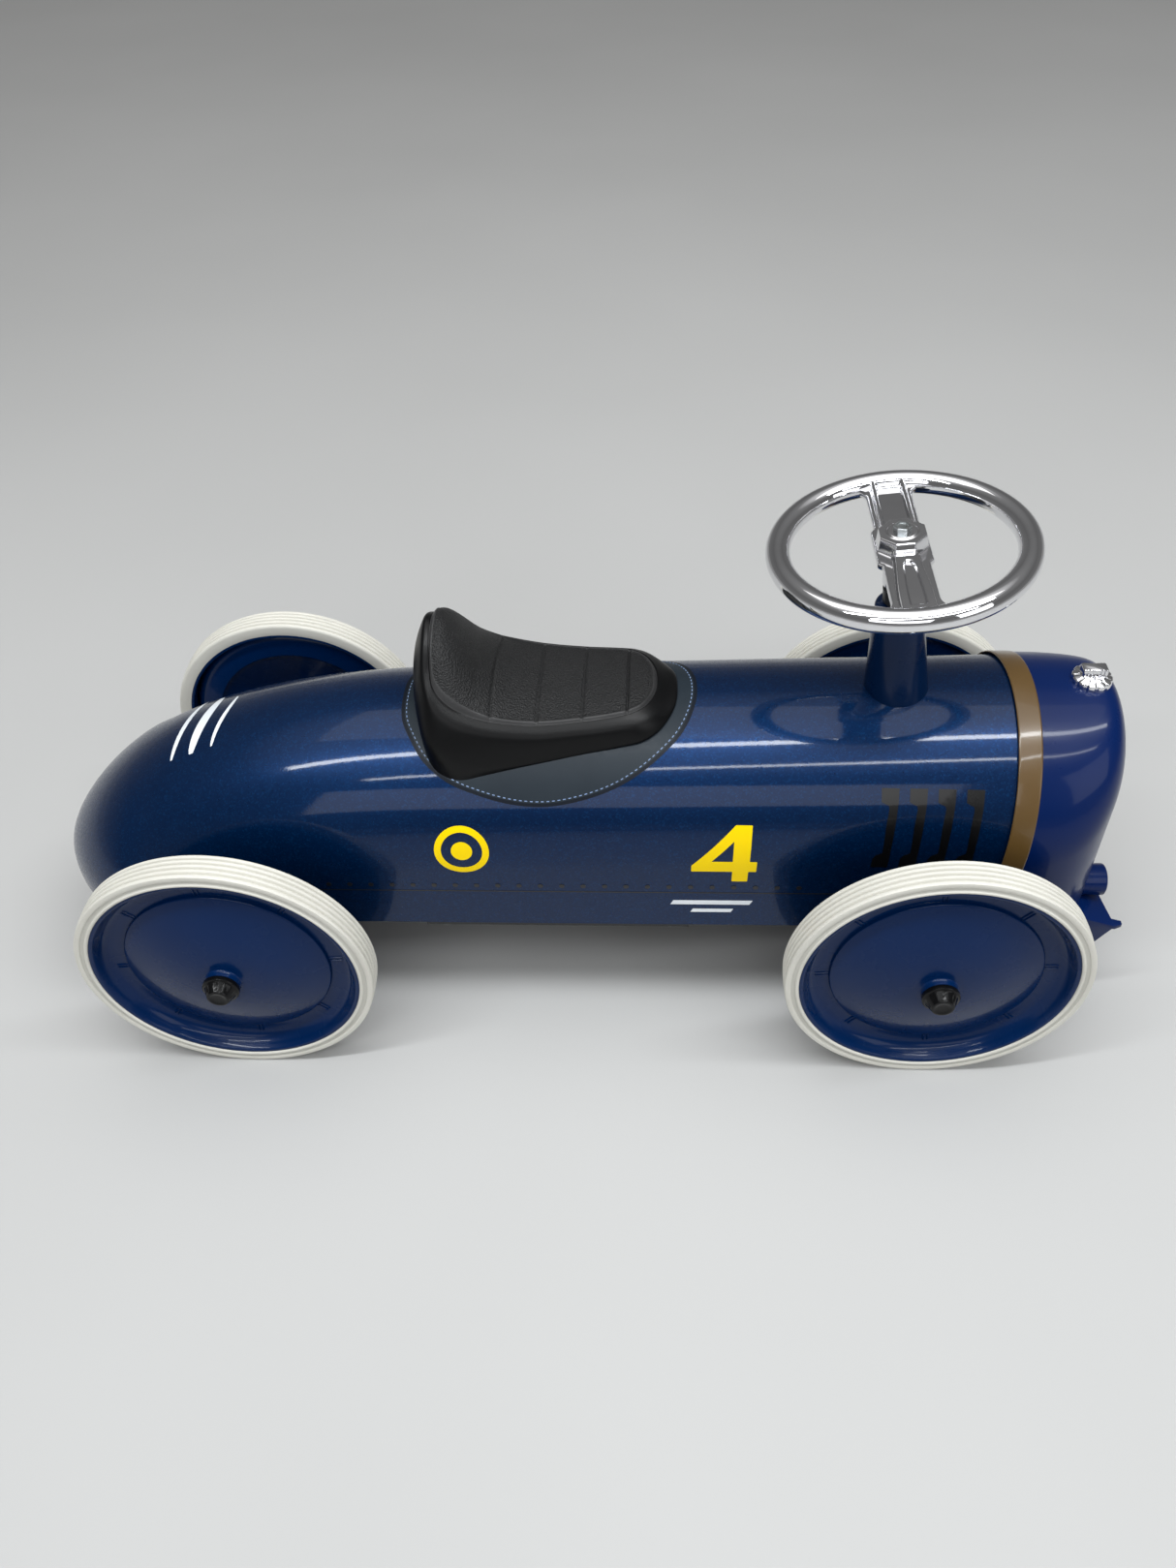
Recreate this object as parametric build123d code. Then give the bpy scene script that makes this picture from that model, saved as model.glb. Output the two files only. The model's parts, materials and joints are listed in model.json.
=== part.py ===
from build123d import *
import os
import math

os.makedirs("parts", exist_ok=True)

# ------------------------------------------------------------------ sizes (mm)
# Frame: X forward, Y to the car's left, Z up, origin on the ground under the
# middle of the car.
WHEEL_R = 101.5            # tyre outside radius (8 inch wheel)
TYRE_W = 20.0              # tyre width
WHEEL_FACE = 140.6         # |y| of the tyre's outer face
RIM_R = 91.6               # bore of the tyre
AXLE_Z = 101.5
REAR_X = -235.8            # rear axle
FRONT_X = 245.2            # front axle and kingpins
KINGPIN_Y = 98.0
AXLE_R = 5.0
RUN = 0.05                 # running clearance on a radius

BODY_W = 86.0              # half width of the body
BODY_Z0 = 95.5             # bottom edge of the body
SKIN = 1.5                 # body sheet thickness
TAIL_X = -387.2            # tip of the tail
SHELL_END = 299.0          # front edge of the body sheet (at z = 164)
SLANT = 0.07               # lean of the shell / cowl joint, dx per dz
COWL_W = 88.0
COWL_TOP = 247.6
COWL_TIP = 370.3
COWL_T = 2.0               # cowl wall
COWL_X0 = 289.2            # rear edge of the cowl (at z = 164)
BAND_X0, BAND_X1 = 285.0, 300.2   # strap round the cowl (at z = 164)
BAND_T = 0.6
CHIN_X = 387.2             # front edge of the apron

FLOOR_X0, FLOOR_X1 = -105.0, 81.0
FLOOR_Z0 = 92.4

COL_O = (205.5, 0.0, 351.3)       # centre of the steering wheel
COL_TILT = math.radians(6.0)
COL_R = 5.0
SW_R = 74.65               # steering wheel centreline radius
SW_TUBE = 7.6
CRANK = 20.0               # crank arm on the column
ARM = 30.0                 # steering arm on each knuckle
ROD_X0, ROD_X1 = 204.0, 226.5
ROD_Z0, ROD_Z1 = 84.0, 87.0


def save(name, solids):
    if not isinstance(solids, (list, tuple)):
        solids = [solids]
    out = []
    for s in solids:
        out += list(s.solids())
    shape = out[0] if len(out) == 1 else Compound(children=out)
    shape.label = name
    export_step(shape, "parts/%s.step" % name)


def cyl(p, d, r, length):
    return Plane(origin=p, z_dir=d) * Cylinder(
        r, length, align=(Align.CENTER, Align.CENTER, Align.MIN))


def tube(p, d, r1, r0, length):
    return cyl(p, d, r1, length) - cyl(p, d, r0, length)


def box(x0, x1, y0, y1, z0, z1):
    return Pos((x0 + x1) / 2, (y0 + y1) / 2, (z0 + z1) / 2) * Box(
        abs(x1 - x0), abs(y1 - y0), abs(z1 - z0))


def hexnut(p, d, af, h, r0):
    body = Plane(origin=p, z_dir=d) * extrude(
        RegularPolygon(af / 2 / math.cos(math.pi / 6), 6), h)
    return body - cyl(p, d, r0, h) if r0 else body


def prism_y(pts, y0, y1):
    """Polygon in the XZ plane, swept from y0 to y1."""
    w = Wire.make_polygon([Vector(x, y0, z) for x, z in pts], close=True)
    return Solid.extrude(Face(w), Vector(0, y1 - y0, 0))


def prism_z(pts, z0, z1):
    w = Wire.make_polygon([Vector(x, y, z0) for x, y in pts], close=True)
    return Solid.extrude(Face(w), Vector(0, 0, z1 - z0))


# ------------------------------------------------------------------ body form
def w_shell(x):
    a = min(max((-315.0 - x) / (-315.0 - TAIL_X), 0.0), 1.0)
    return BODY_W * (1 - a ** 1.57) ** (1 / 1.57)


def t_shell(x):
    u = x + 125.0
    base = 235.0 + 0.0129 * (u + math.sqrt(u * u + 1600.0)) - 0.0129 * 40.0 * 0.3
    b = min(max((-61.4 - x) / (-61.4 - TAIL_X), 0.0), 1.0)
    return 96.0 + (base - 96.0) * (1 - b ** 2.45) ** (1 / 1.58)


def w_cowl(x):
    a = min(max((x - 299.0) / (COWL_TIP - 299.0), 0.0), 1.0)
    return COWL_W * (1 - a ** 2.56) ** (1 / 2.56)


def t_cowl(x):
    b = min(max((x - 337.5) / (COWL_TIP - 337.5), 0.0), 1.0)
    return 134.9 + (COWL_TOP - 134.9) * (1 - b ** 4.7) ** (1 / 4.24)


def section(x, w, t, z0):
    """Closed section: vertical sides, half round top, flat bottom."""
    r = min(w, (t - z0) * 0.93)
    zc = t - r
    top = Edge.make_ellipse(w, r, plane=Plane(origin=(x, 0, zc), x_dir=(0, 1, 0), z_dir=(1, 0, 0)),
                            start_angle=0, end_angle=180)
    c, b, a, d = (Vector(x, w, zc), Vector(x, -w, zc), Vector(x, -w, z0), Vector(x, w, z0))
    return Wire([top, Edge.make_line(b, a), Edge.make_line(a, d), Edge.make_line(d, c)])


def lofted(xs, wf, tf, z0, dw=0.0):
    ws = [section(x, max(wf(x) - dw, 2.0), max(tf(x) - dw, z0 + 3.0), z0) for x in xs]
    return Solid.make_loft(ws)


def ahead(x0):
    """Everything ahead of the leaning joint plane through x0 at z = 164."""
    return Plane(origin=(x0, 0, 164), z_dir=(1, 0, -SLANT)) * Box(
        900, 900, 500, align=(Align.CENTER, Align.CENTER, Align.MIN))


tail_xs = [-386.7, -384.5, -380.0, -373.0, -363.0, -350.0, -336.0, -322.0, -304.0,
           -278.0, -244.0, -204.0, -160.0, -110.0, -50.0, 40.0, 140.0, 230.0, 310.0]
outer = lofted(tail_xs, w_shell, t_shell, BODY_Z0)
inner = lofted([x + SKIN if x < -300 else x for x in tail_xs],
               lambda x: w_shell(x - SKIN if x < -300 else x),
               lambda x: t_shell(x - SKIN if x < -300 else x), BODY_Z0 + SKIN, SKIN)


def plan_inset(wf, x0, x1, inset, n=40, tail=True):
    """Plan outline, pulled in, for the open bottom."""
    pts = []
    for i in range(n + 1):
        x = x0 + (x1 - x0) * (i / n)
        pts.append((x, wf(x)))
    up = [(x, max(w - inset, 1.0)) for x, w in pts]
    return up + [(x, -w) for x, w in reversed(up)]


front_cut = ahead(SHELL_END)
mouth = prism_z(plan_inset(w_shell, TAIL_X + 13, 330.0, 12.0), BODY_Z0 - 5, BODY_Z0 + SKIN + 1)
body_shell = outer - inner - mouth - front_cut
# windows for the front beam, slots for the rear axle, hole for the column
for s in (-1, 1):
    body_shell -= box(232.4, 258.0, s * 80.0, s * 92.0, 97.0, 108.0)
    body_shell -= box(REAR_X - 5.5, REAR_X + 5.5, s * 70.0, s * 92.0, 90.0, 107.5)
AX = Vector(-math.sin(COL_TILT), 0, math.cos(COL_TILT))     # column axis, upward
BX = Vector(-math.cos(COL_TILT), 0, -math.sin(COL_TILT))    # rearward, across it
O = Vector(*COL_O)


def col(s, b=0.0, y=0.0):
    return O + AX * s + BX * b + Vector(0, y, 0)


body_shell -= cyl(col(-140), AX, 12.0, 50)

# ------------------------------------------------------------------ nose cowl
cowl_xs = [268.0, 284.0, 298.0, 311.0, 323.0, 334.0, 344.0, 352.0, 358.5, 363.5, 367.0,
           369.2, 370.1]
cowl_out = lofted(cowl_xs, w_cowl, t_cowl, BODY_Z0)
cowl_in = lofted([x - COWL_T if x > 330 else x for x in cowl_xs],
                 lambda x: w_cowl(x + COWL_T if x > 328 else x),
                 lambda x: t_cowl(x + COWL_T if x > 328 else x), BODY_Z0 + COWL_T, COWL_T)
strap_out = lofted([270.0, 280.0, 290.0, 300.0, 310.0],
                   lambda x: w_cowl(x) + BAND_T, lambda x: t_cowl(x) + BAND_T, BODY_Z0)
cowl_mouth = prism_z(plan_inset(w_cowl, 270.0, 356.0, 12.0), BODY_Z0 - 5, BODY_Z0 + COWL_T + 1)
nose_cowl = (cowl_out & ahead(COWL_X0)) - cowl_in - outer - cowl_mouth
nose_band = (strap_out & (ahead(BAND_X0) - ahead(BAND_X1))) - (cowl_out & ahead(COWL_X0)) - outer
nose_band -= box(250, 340, -COWL_W + 6, COWL_W - 6, 90, 120)

GR_W, GR_Z0, GR_Z1 = 38.0, 112.0, 196.0      # grille opening, half width and heights
gcut = Plane(origin=(350, 0, (GR_Z0 + GR_Z1) / 2), x_dir=(0, 1, 0), z_dir=(1, 0, 0)) * extrude(
    RectangleRounded(2 * GR_W, GR_Z1 - GR_Z0, 20), 40)
nose_cowl -= gcut

# grille: a plate with raised slats, held behind the opening
gpl = Plane(origin=(358.6, 0, (GR_Z0 + GR_Z1) / 2), x_dir=(0, 1, 0), z_dir=(1, 0, 0)) * extrude(
    RectangleRounded(2 * GR_W + 10, GR_Z1 - GR_Z0 + 10, 24), 2.4)
grille = gpl
for i in range(9):
    z = GR_Z0 + 8.0 + i * 8.5
    half = GR_W - 4.0 if 20 < (z - GR_Z0) < (GR_Z1 - GR_Z0 - 20) else GR_W - 12.0
    grille -= box(355, 364, -half, half, z - 2.0, z + 2.0)
grille -= box(355, 358.61, -GR_W + 2, GR_W - 2, GR_Z0 + 2, GR_Z1 - 2)
grille += box(358.6, 362.6, -1.6, 1.6, GR_Z0 + 2, GR_Z1 - 2)

# radiator cap: scalloped disc and a square bar on top
cap_z = 246.6
radiator_cap = Pos(344, 0, cap_z) * Cylinder(13.0, 5.0, align=(Align.CENTER, Align.CENTER, Align.MIN))
for k in range(12):
    a = 2 * math.pi * k / 12
    radiator_cap -= Pos(344 + 14.3 * math.cos(a), 14.3 * math.sin(a), cap_z - 1) * Cylinder(
        2.2, 12, align=(Align.CENTER, Align.CENTER, Align.MIN))
radiator_cap += Pos(344, 0, cap_z + 5.0) * Cylinder(8.6, 1.6, align=(Align.CENTER, Align.CENTER, Align.MIN))
radiator_cap += box(344 - 8.2, 344 + 8.2, -4.2, 4.2, cap_z + 5, cap_z + 12.0)
radiator_cap += Pos(344, 0, cap_z - 14.0) * Cylinder(6.0, 14.5, align=(Align.CENTER, Align.CENTER, Align.MIN))
nose_cowl -= Pos(344, 0, cap_z - 16.0) * Cylinder(6.0, 40, align=(Align.CENTER, Align.CENTER, Align.MIN))
radiator_cap -= (cowl_out - cowl_in) - Pos(344, 0, cap_z - 16.0) * Cylinder(6.0, 40, align=(Align.CENTER, Align.CENTER, Align.MIN))
cap_nut = hexnut((344, 0, 239.6), (0, 0, 1), 18.0, 5.0, 6.0) - (cowl_out - cowl_in)

# front apron under the cowl, and the two frame horns that stand out over it
apron = prism_y([(300, 95.5), (352, 95.5), (360, 92.0), (CHIN_X - 5.4, 84.6), (CHIN_X - 6.6, 82.0),
                 (371, 66), (366, 58), (300, 58)], -75, 75)
trim = prism_z([(300, -75), (374.0, -75), (CHIN_X - 5.0, -75), (376.8, -44.3), (374.5, 0), (376.8, 44.3),
                (CHIN_X - 5.0, 75), (374.0, 75), (300, 75)], 40, 120)
apron = apron & trim
apron_in = prism_y([(297, 92.5), (351, 92.5), (359, 89.4), (372, 85.2), (364, 66), (361.5, 61), (297, 61)], -72, 72)
apron_open = prism_y([(297, 99), (340, 99), (340, 80), (297, 80)], -62, 62)
front_apron = apron - apron_in - apron_open
HORN_Y, HORN_Z, HORN_R = 45.0, 101.0, 11.5
horns = {}
for s, nm in ((-1, "right"), (1, "left")):
    horns[nm] = tube((257.2, s * HORN_Y, HORN_Z), (1, 0, 0), HORN_R, HORN_R - 1.6, 377.0 - 257.2)
    horns[nm] += cyl((374.6, s * HORN_Y, HORN_Z), (1, 0, 0), HORN_R - 1.6, 2.4)
    front_apron -= cyl((250, s * HORN_Y, HORN_Z), (1, 0, 0), HORN_R, 160)
    nose_cowl -= cyl((250, s * HORN_Y, HORN_Z), (1, 0, 0), HORN_R + 0.4, 160)
    nose_cowl -= box(330, 390, s * HORN_Y - HORN_R - 0.4, s * HORN_Y + HORN_R + 0.4, 90, HORN_Z)

# the chin keeps its corners as the foremost points of the car
chin_lip = prism_z([(374.0, 66), (CHIN_X, 70.0), (CHIN_X, 73.0), (CHIN_X - 4.8, 75), (374.0, 75)], 81.6, 84.8)
front_apron += chin_lip
front_apron += chin_lip.mirror(Plane.XZ)

# ------------------------------------------------------------------ floor plate
floor_plate = prism_z([(FLOOR_X0, -85.4), (FLOOR_X1, -85.4), (FLOOR_X1, 85.4), (FLOOR_X0, 85.4)],
                      FLOOR_Z0, BODY_Z0)
for s in (-1, 1):
    floor_plate -= box(FLOOR_X0 - 1, FLOOR_X1 + 1, s * 30 - 3, s * 30 + 3, FLOOR_Z0 - 1, FLOOR_Z0 + 0.8)
floor_screws = []
for x in (-92.0, -12.0, 68.0):
    for s in (-1, 1):
        y = s * 79.5
        floor_plate -= cyl((x, y, 90), (0, 0, 1), 2.1, 8)
        body_shell -= cyl((x, y, 90), (0, 0, 1), 2.1, 10)
        sc = cyl((x, y, FLOOR_Z0 - 2.2), (0, 0, 1), 4.2, 2.2) + cyl((x, y, FLOOR_Z0 - 0.1), (0, 0, 1), 2.0, 8.6)
        sc -= box(x - 3, x + 3, y - 0.5, y + 0.5, FLOOR_Z0 - 3, FLOOR_Z0 - 1.2)
        floor_screws.append(sc)
        floor_screws.append(hexnut((x, y, BODY_Z0 + SKIN), (0, 0, 1), 7.0, 3.0, 2.0))

# ------------------------------------------------------------------ steering column and its cone
cone_pts = [(22.6, -128.0), (21.25, -112.0), (17.4, -66.7), (15.6, -47.0), (15.2, -42.6), (13.4, -40.4),
            (7.2, -40.4), (7.2, -46.0), (12.0, -46.0), (12.0, -128.0)]


def revolve_col(pts):
    """Revolve a profile of (radius, distance along the column) about the column."""
    ws = [col(s, b) for b, s in pts]
    w = Wire.make_polygon(ws, close=True)
    return Solid.revolve(Face(w), 360, Axis(col(0), AX))


column_cone = revolve_col(cone_pts) - outer
upper_bush = tube(col(-68), AX, 12.0, COL_R + RUN, 22)
cone_screws = []
for s in (-1, 1):
    base = col(-123.5, 0, s * 16.6)
    cs = cyl(base, AX, 1.7, 24) + cyl(col(-123.5, 0, s * 16.6), AX, 3.6, 1.0)
    column_cone -= cyl(base, AX, 1.7, 24)
    body_shell -= cyl(base, AX, 1.9, 24)
    head = cyl(col(-125.5, 0, s * 16.6), AX, 3.6, 3.4) - (outer - inner)
    cs = cyl(col(-124.5, 0, s * 16.6), AX, 1.7, 25) + max(head.solids(), key=lambda q: -q.center().Z)
    cone_screws.append(cs)
    column_cone -= cs

steering_column = cyl(col(-250), AX, COL_R, 252.0)
crank_arm = (cyl(col(-250), AX, 9.0, 4.0) + cyl(col(-250, CRANK), AX, 7.0, 4.0)
             + Plane(origin=col(-248, CRANK / 2), x_dir=BX, z_dir=AX) * Box(CRANK, 13.0, 4.0))
crank_arm -= cyl(col(-251), AX, COL_R, 6.0)
crank_pin = cyl(col(-270.5, CRANK), AX, 4.0, 20.5)
crank_arm += crank_pin
crank_arm -= cyl(col(-251), AX, COL_R, 6.0)
crank_clip = tube(col(-270.0, CRANK), AX, 6.0, 4.0, 1.6)
column_collar = tube(col(-38.6), AX, 10.5, COL_R, 9.0)

# column bracket over the front beam, with the lower bush
LB = -222.0
lb_c = col(LB)                               # centre of the lower bush
lower_bush = tube(col(LB - 6), AX, 8.0, COL_R + RUN, 12)
column_bracket = (box(216, 246, -30, 30, lb_c.Z - 2.5, lb_c.Z + 0.5)
                  + box(240, 256, -30, -26, 107, lb_c.Z + 0.5) + box(240, 256, 26, 30, 107, lb_c.Z + 0.5)
                  + box(240, 256, -30, 30, lb_c.Z - 2.5, lb_c.Z + 0.5)
                  + box(236, 256, -40, -26, 107, 110) + box(236, 256, 26, 40, 107, 110))
column_bracket += tube(col(LB - 5), AX, 10.5, 8.0, 10)
column_bracket -= cyl(col(LB - 12), AX, 8.0, 24)

# ------------------------------------------------------------------ front beam
BX0, BX1 = FRONT_X - 12.0, FRONT_X + 12.0
front_beam = box(BX0, BX1, -92, 92, 104, 107)
front_beam += box(BX0, BX0 + 3, -92, 92, 97, 105) + box(BX1 - 3, BX1, -92, 92, 97, 105)
for s in (-1, 1):
    front_beam += cyl((FRONT_X, s * KINGPIN_Y, 92), (0, 0, 1), 9.0, 19.0)
    front_beam -= cyl((FRONT_X, s * KINGPIN_Y, 91), (0, 0, 1), 4.0, 21.0)
front_beam -= box(BX0 - 1, FRONT_X, -16, 16, 95, 108)
front_beam += box(FRONT_X, FRONT_X + 3, -19, 19, 97, 105)
beam_bolts, kingpins, kingpin_nuts = [], [], []
for s in (-1, 1):
    y = s * 79.0
    for part in ("shell", "beam"):
        hole = cyl((FRONT_X, y, 90), (0, 0, 1), 2.6, 24)
        if part == "shell":
            body_shell -= hole
        else:
            front_beam -= hole
    beam_bolts.append(hexnut((FRONT_X, y, BODY_Z0 - 3.0), (0, 0, 1), 8.0, 3.0, 0)
                      + cyl((FRONT_X, y, BODY_Z0 - 0.1), (0, 0, 1), 2.5, 18.0))
    beam_bolts.append(hexnut((FRONT_X, y, 107), (0, 0, 1), 8.0, 3.6, 2.5))
    for x in (239.0,):
        pass
    # bracket screws through the beam's top
    yb = s * 35.0
    front_beam -= cyl((FRONT_X + 1, yb, 100), (0, 0, 1), 2.1, 8)
    column_bracket -= cyl((FRONT_X + 1, yb, 106), (0, 0, 1), 2.1, 8)
    beam_bolts.append(cyl((FRONT_X + 1, yb, 101.5), (0, 0, 1), 4.0, 2.5) + cyl((FRONT_X + 1, yb, 103), (0, 0, 1), 2.0, 10))
    beam_bolts.append(hexnut((FRONT_X + 1, yb, 110), (0, 0, 1), 7.0, 2.8, 2.0))
    kp = cyl((FRONT_X, s * KINGPIN_Y, 85.6), (0, 0, 1), 4.0, 34.2) + cyl((FRONT_X, s * KINGPIN_Y, 83.4), (0, 0, 1), 7.0, 2.4)
    kingpins.append(kp)
    kingpin_nuts.append(hexnut((FRONT_X, s * KINGPIN_Y, 115.5), (0, 0, 1), 12.0, 4.0, 4.0))

# ------------------------------------------------------------------ knuckles
knuckles, knuckle_clips, stub_spacers, stub_nuts = {}, {}, {}, {}
for s, nm in ((-1, "right"), (1, "left")):
    y0 = s * KINGPIN_Y
    k = None
    for z0, z1 in ((112.0, 115.0), (88.0, 91.0)):
        lug = cyl((FRONT_X, y0, z0), (0, 0, 1), 9.0, z1 - z0) + box(FRONT_X - 9, FRONT_X + 9, y0, s * 111.0, z0, z1)
        k = lug if k is None else k + lug
    k += box(FRONT_X - 9, FRONT_X + 9, s * 108.0, s * 111.0, 88.0, 115.0)
    arm = box(FRONT_X - ARM, FRONT_X, y0 - 7, y0 + 7, 88.0, 91.0) + cyl((FRONT_X - ARM, y0, 88), (0, 0, 1), 7.0, 3.0)
    k += arm
    k -= cyl((FRONT_X, y0, 87), (0, 0, 1), 4.0 + RUN, 30)
    k += cyl((FRONT_X - ARM, y0, 80.6), (0, 0, 1), 4.0, 8.4)
    k += cyl((FRONT_X, s * 108.5, AXLE_Z), (0, s, 0), AXLE_R, 155.0 - 108.5)
    knuckles[nm] = k
    knuckle_clips[nm] = tube((FRONT_X - ARM, y0, 80.9), (0, 0, 1), 6.0, 4.0, 1.6)
    stub_spacers[nm] = tube((FRONT_X, s * 111.0, AXLE_Z), (0, s, 0), 8.0, AXLE_R, 7.2)
    stub_nuts[nm] = tube((FRONT_X, s * (WHEEL_FACE + 9.5), AXLE_Z), (0, s, 0), 8.4, AXLE_R, 1.8)

# ------------------------------------------------------------------ tie rod
tie_rod = box(ROD_X0, ROD_X1, -KINGPIN_Y - 3, KINGPIN_Y + 3, ROD_Z0, ROD_Z1)
for s in (-1, 1):
    tie_rod += cyl(((ROD_X0 + ROD_X1) / 2, s * (KINGPIN_Y + 1.5), ROD_Z0), (0, 0, 1), (ROD_X1 - ROD_X0) / 2, 3.0)


def slot_x(xc, y, half, r):
    return (box(xc - half, xc + half, y - r, y + r, ROD_Z0 - 1, ROD_Z1 + 1)
            + cyl((xc - half, y, ROD_Z0 - 1), (0, 0, 1), r, 5) + cyl((xc + half, y, ROD_Z0 - 1), (0, 0, 1), r, 5))


for s in (-1, 1):
    tie_rod -= slot_x(FRONT_X - ARM + 0.6, s * KINGPIN_Y, 0.9, 4.5)
pin_x = (O + AX * -266 + BX * CRANK).X
tie_rod -= slot_x(pin_x + 0.9, 0.0, 1.3, 4.5)
tie_rod -= box(ROD_X0 + 7, ROD_X1 - 7, 30, 70, ROD_Z1 - 0.8, ROD_Z1 + 1)
tie_rod -= box(ROD_X0 + 7, ROD_X1 - 7, -70, -30, ROD_Z1 - 0.8, ROD_Z1 + 1)

# ------------------------------------------------------------------ rear axle
rear_crossmember = box(REAR_X - 14, REAR_X + 14, -84, 84, 108, 111)
rear_crossmember += box(REAR_X - 14, REAR_X - 11, -84, 84, 97, 109) + box(REAR_X + 11, REAR_X + 14, -84, 84, 97, 109)
rear_axle = cyl((REAR_X, -155.0, AXLE_Z), (0, 1, 0), AXLE_R, 310.0)
blocks, rear_bolts, rear_spacers, rear_nuts = {}, [], {}, []
for s, nm in ((-1, "right"), (1, "left")):
    b = box(REAR_X - 11, REAR_X + 11, s * 66.0, s * 83.0, 97.0, 108.0) - cyl((REAR_X, -100, AXLE_Z), (0, 1, 0), AXLE_R, 200)
    for dx in (-8.4, 8.4):
        hole = cyl((REAR_X + dx, s * 78.5, 90), (0, 0, 1), 1.9, 24)
        b -= hole
        rear_crossmember -= hole
        body_shell -= hole
        rear_bolts.append(cyl((REAR_X + dx, s * 78.5, BODY_Z0 - 2.4), (0, 0, 1), 3.6, 2.4)
                          + cyl((REAR_X + dx, s * 78.5, BODY_Z0 - 0.1), (0, 0, 1), 1.85, 19.0))
        rear_bolts.append(hexnut((REAR_X + dx, s * 78.5, 111), (0, 0, 1), 7.0, 2.8, 1.85))
    blocks[nm] = b
    rear_spacers[nm] = tube((REAR_X, s * 86.6, AXLE_Z), (0, s, 0), 8.0, AXLE_R, 31.6)
    rear_nuts.append(tube((REAR_X, s * (WHEEL_FACE + 9.5), AXLE_Z), (0, s, 0), 8.4, AXLE_R, 1.8))

# ------------------------------------------------------------------ wheels
def dome(r):
    return 4.2 - 13.7 * (max(r - 14.0, 0.0) / 56.5) ** 1.55


rim_pts = [(8.0, 9.0), (12.0, 9.0), (12.0, 4.4)]
rim_pts += [(r, dome(r)) for r in (14, 20, 27, 34, 41, 48, 54, 60, 65, 70.5)]
rim_pts += [(70.5, -12.0), (80.0, -12.0), (82.2, -11.3), (84.6, -9.4), (86.4, -6.6), (87.6, -3.4), (88.6, -1.2),
            (90.2, -0.4), (91.6, -0.5), (91.6, -19.5), (89.2, -19.5), (89.2, -6.0), (87.0, -10.6), (84.2, -13.6),
            (80.6, -14.6), (68.0, -14.6), (68.0, -12.6)]
rim_pts += [(r, dome(r) - 2.6) for r in (65, 60, 54, 48, 41, 34, 27, 20, 14)]
rim_pts += [(12.0, 1.6), (12.0, -22.0), (8.0, -22.0)]
tread = []
n_rib, g_w, g_d = 5, 1.1, 1.0
rib = (TYRE_W - 1.6 - (n_rib - 1) * g_w) / n_rib
a = -TYRE_W + 0.8
for i in range(n_rib):
    c0 = abs(i - (n_rib - 1) / 2)
    rr = WHEEL_R - 0.12 * c0 * c0
    tread += [(rr, a), (rr, a + rib)]
    if i < n_rib - 1:
        tread += [(WHEEL_R - g_d - 0.3, a + rib + 0.15), (WHEEL_R - g_d - 0.3, a + rib + g_w - 0.15)]
    a += rib + g_w
tyre_pts = [(RIM_R, -TYRE_W + 0.3), (93.2, -TYRE_W), (100.2, -TYRE_W)] + tread + [
    (100.2, 0.0), (94.0, 0.0), (93.2, 0.5), (92.2, 0.4), (RIM_R, -0.2)]
cap_pts = [(0.0, 19.2), (6.8, 19.5), (8.0, 18.6), (10.9, 12.6), (12.4, 12.2), (12.6, 9.0), (9.4, 9.0), (9.4, 12.0),
           (6.2, 12.6), (6.2, 16.8), (0.0, 16.8)]


def revolve_wheel(pts, x, s):
    w = Wire.make_polygon([Vector(x, s * (WHEEL_FACE + ax), AXLE_Z + r) for r, ax in pts], close=True)
    return Solid.revolve(Face(w), 360, Axis((x, 0, AXLE_Z), (0, 1, 0)))


wheels = {}
for tag, x, s in (("front_left", FRONT_X, 1), ("front_right", FRONT_X, -1),
                  ("rear_left", REAR_X, 1), ("rear_right", REAR_X, -1)):
    rim = revolve_wheel(rim_pts, x, s)
    for k in range(8):
        ang = math.radians(45 * k + 4.0)
        for d in (-1.3, 1.3):
            bar = Pos(75.4, 0, d) * Box(8.6, 1.2, 0.9)
            bar = Plane(origin=(x, s * (WHEEL_FACE - 11.6), AXLE_Z),
                        x_dir=(math.cos(ang), 0, math.sin(ang)), z_dir=(-math.sin(ang), 0, math.cos(ang))) * bar
            rim += bar
    wheels[tag] = dict(
        rim=rim, tyre=revolve_wheel(tyre_pts, x, s), cap=revolve_wheel(cap_pts, x, s),
        bush=tube((x, s * (WHEEL_FACE - 22.0), AXLE_Z), (0, s, 0), 8.0, AXLE_R + RUN, 31.0))

# ------------------------------------------------------------------ steering wheel
ring = Plane(origin=col(0), x_dir=BX, z_dir=AX) * Torus(SW_R, SW_TUBE)
PL = Plane(origin=col(0), x_dir=BX, z_dir=AX)
spoke = PL * (Pos(0, 0, 0.5) * Box(24, 2 * SW_R, 5.0))
rib_bar = PL * (Pos(0, 0, 4.2) * Box(13, 2 * SW_R - 6, 4.0))
hub = PL * (Pos(0, 0, -10) * Cylinder(15.5, 20.0, align=(Align.CENTER, Align.CENTER, Align.MIN)))
hub += PL * (Pos(0, 0, 0) * Box(32, 34, 6.0))
boss = PL * (Pos(0, 0, -26) * Cylinder(11.0, 18.0, align=(Align.CENTER, Align.CENTER, Align.MIN)))
steering_wheel = spoke + rib_bar + hub + boss + ring
steering_wheel -= cyl(col(-30), AX, COL_R, 32.0)
steering_wheel -= cyl(col(0), AX, 3.2, 14.0)
steering_wheel -= PL * (Pos(0, 44, 6.6) * Box(8.5, 34, 2.4))
wheel_washer = tube(col(10.0), AX, 6.4, 3.0, 1.0)
wheel_bolt = cyl(col(2.0), AX, 3.0, 9.2) + hexnut(col(11.0), AX, 10.0, 4.2, 0)

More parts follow.
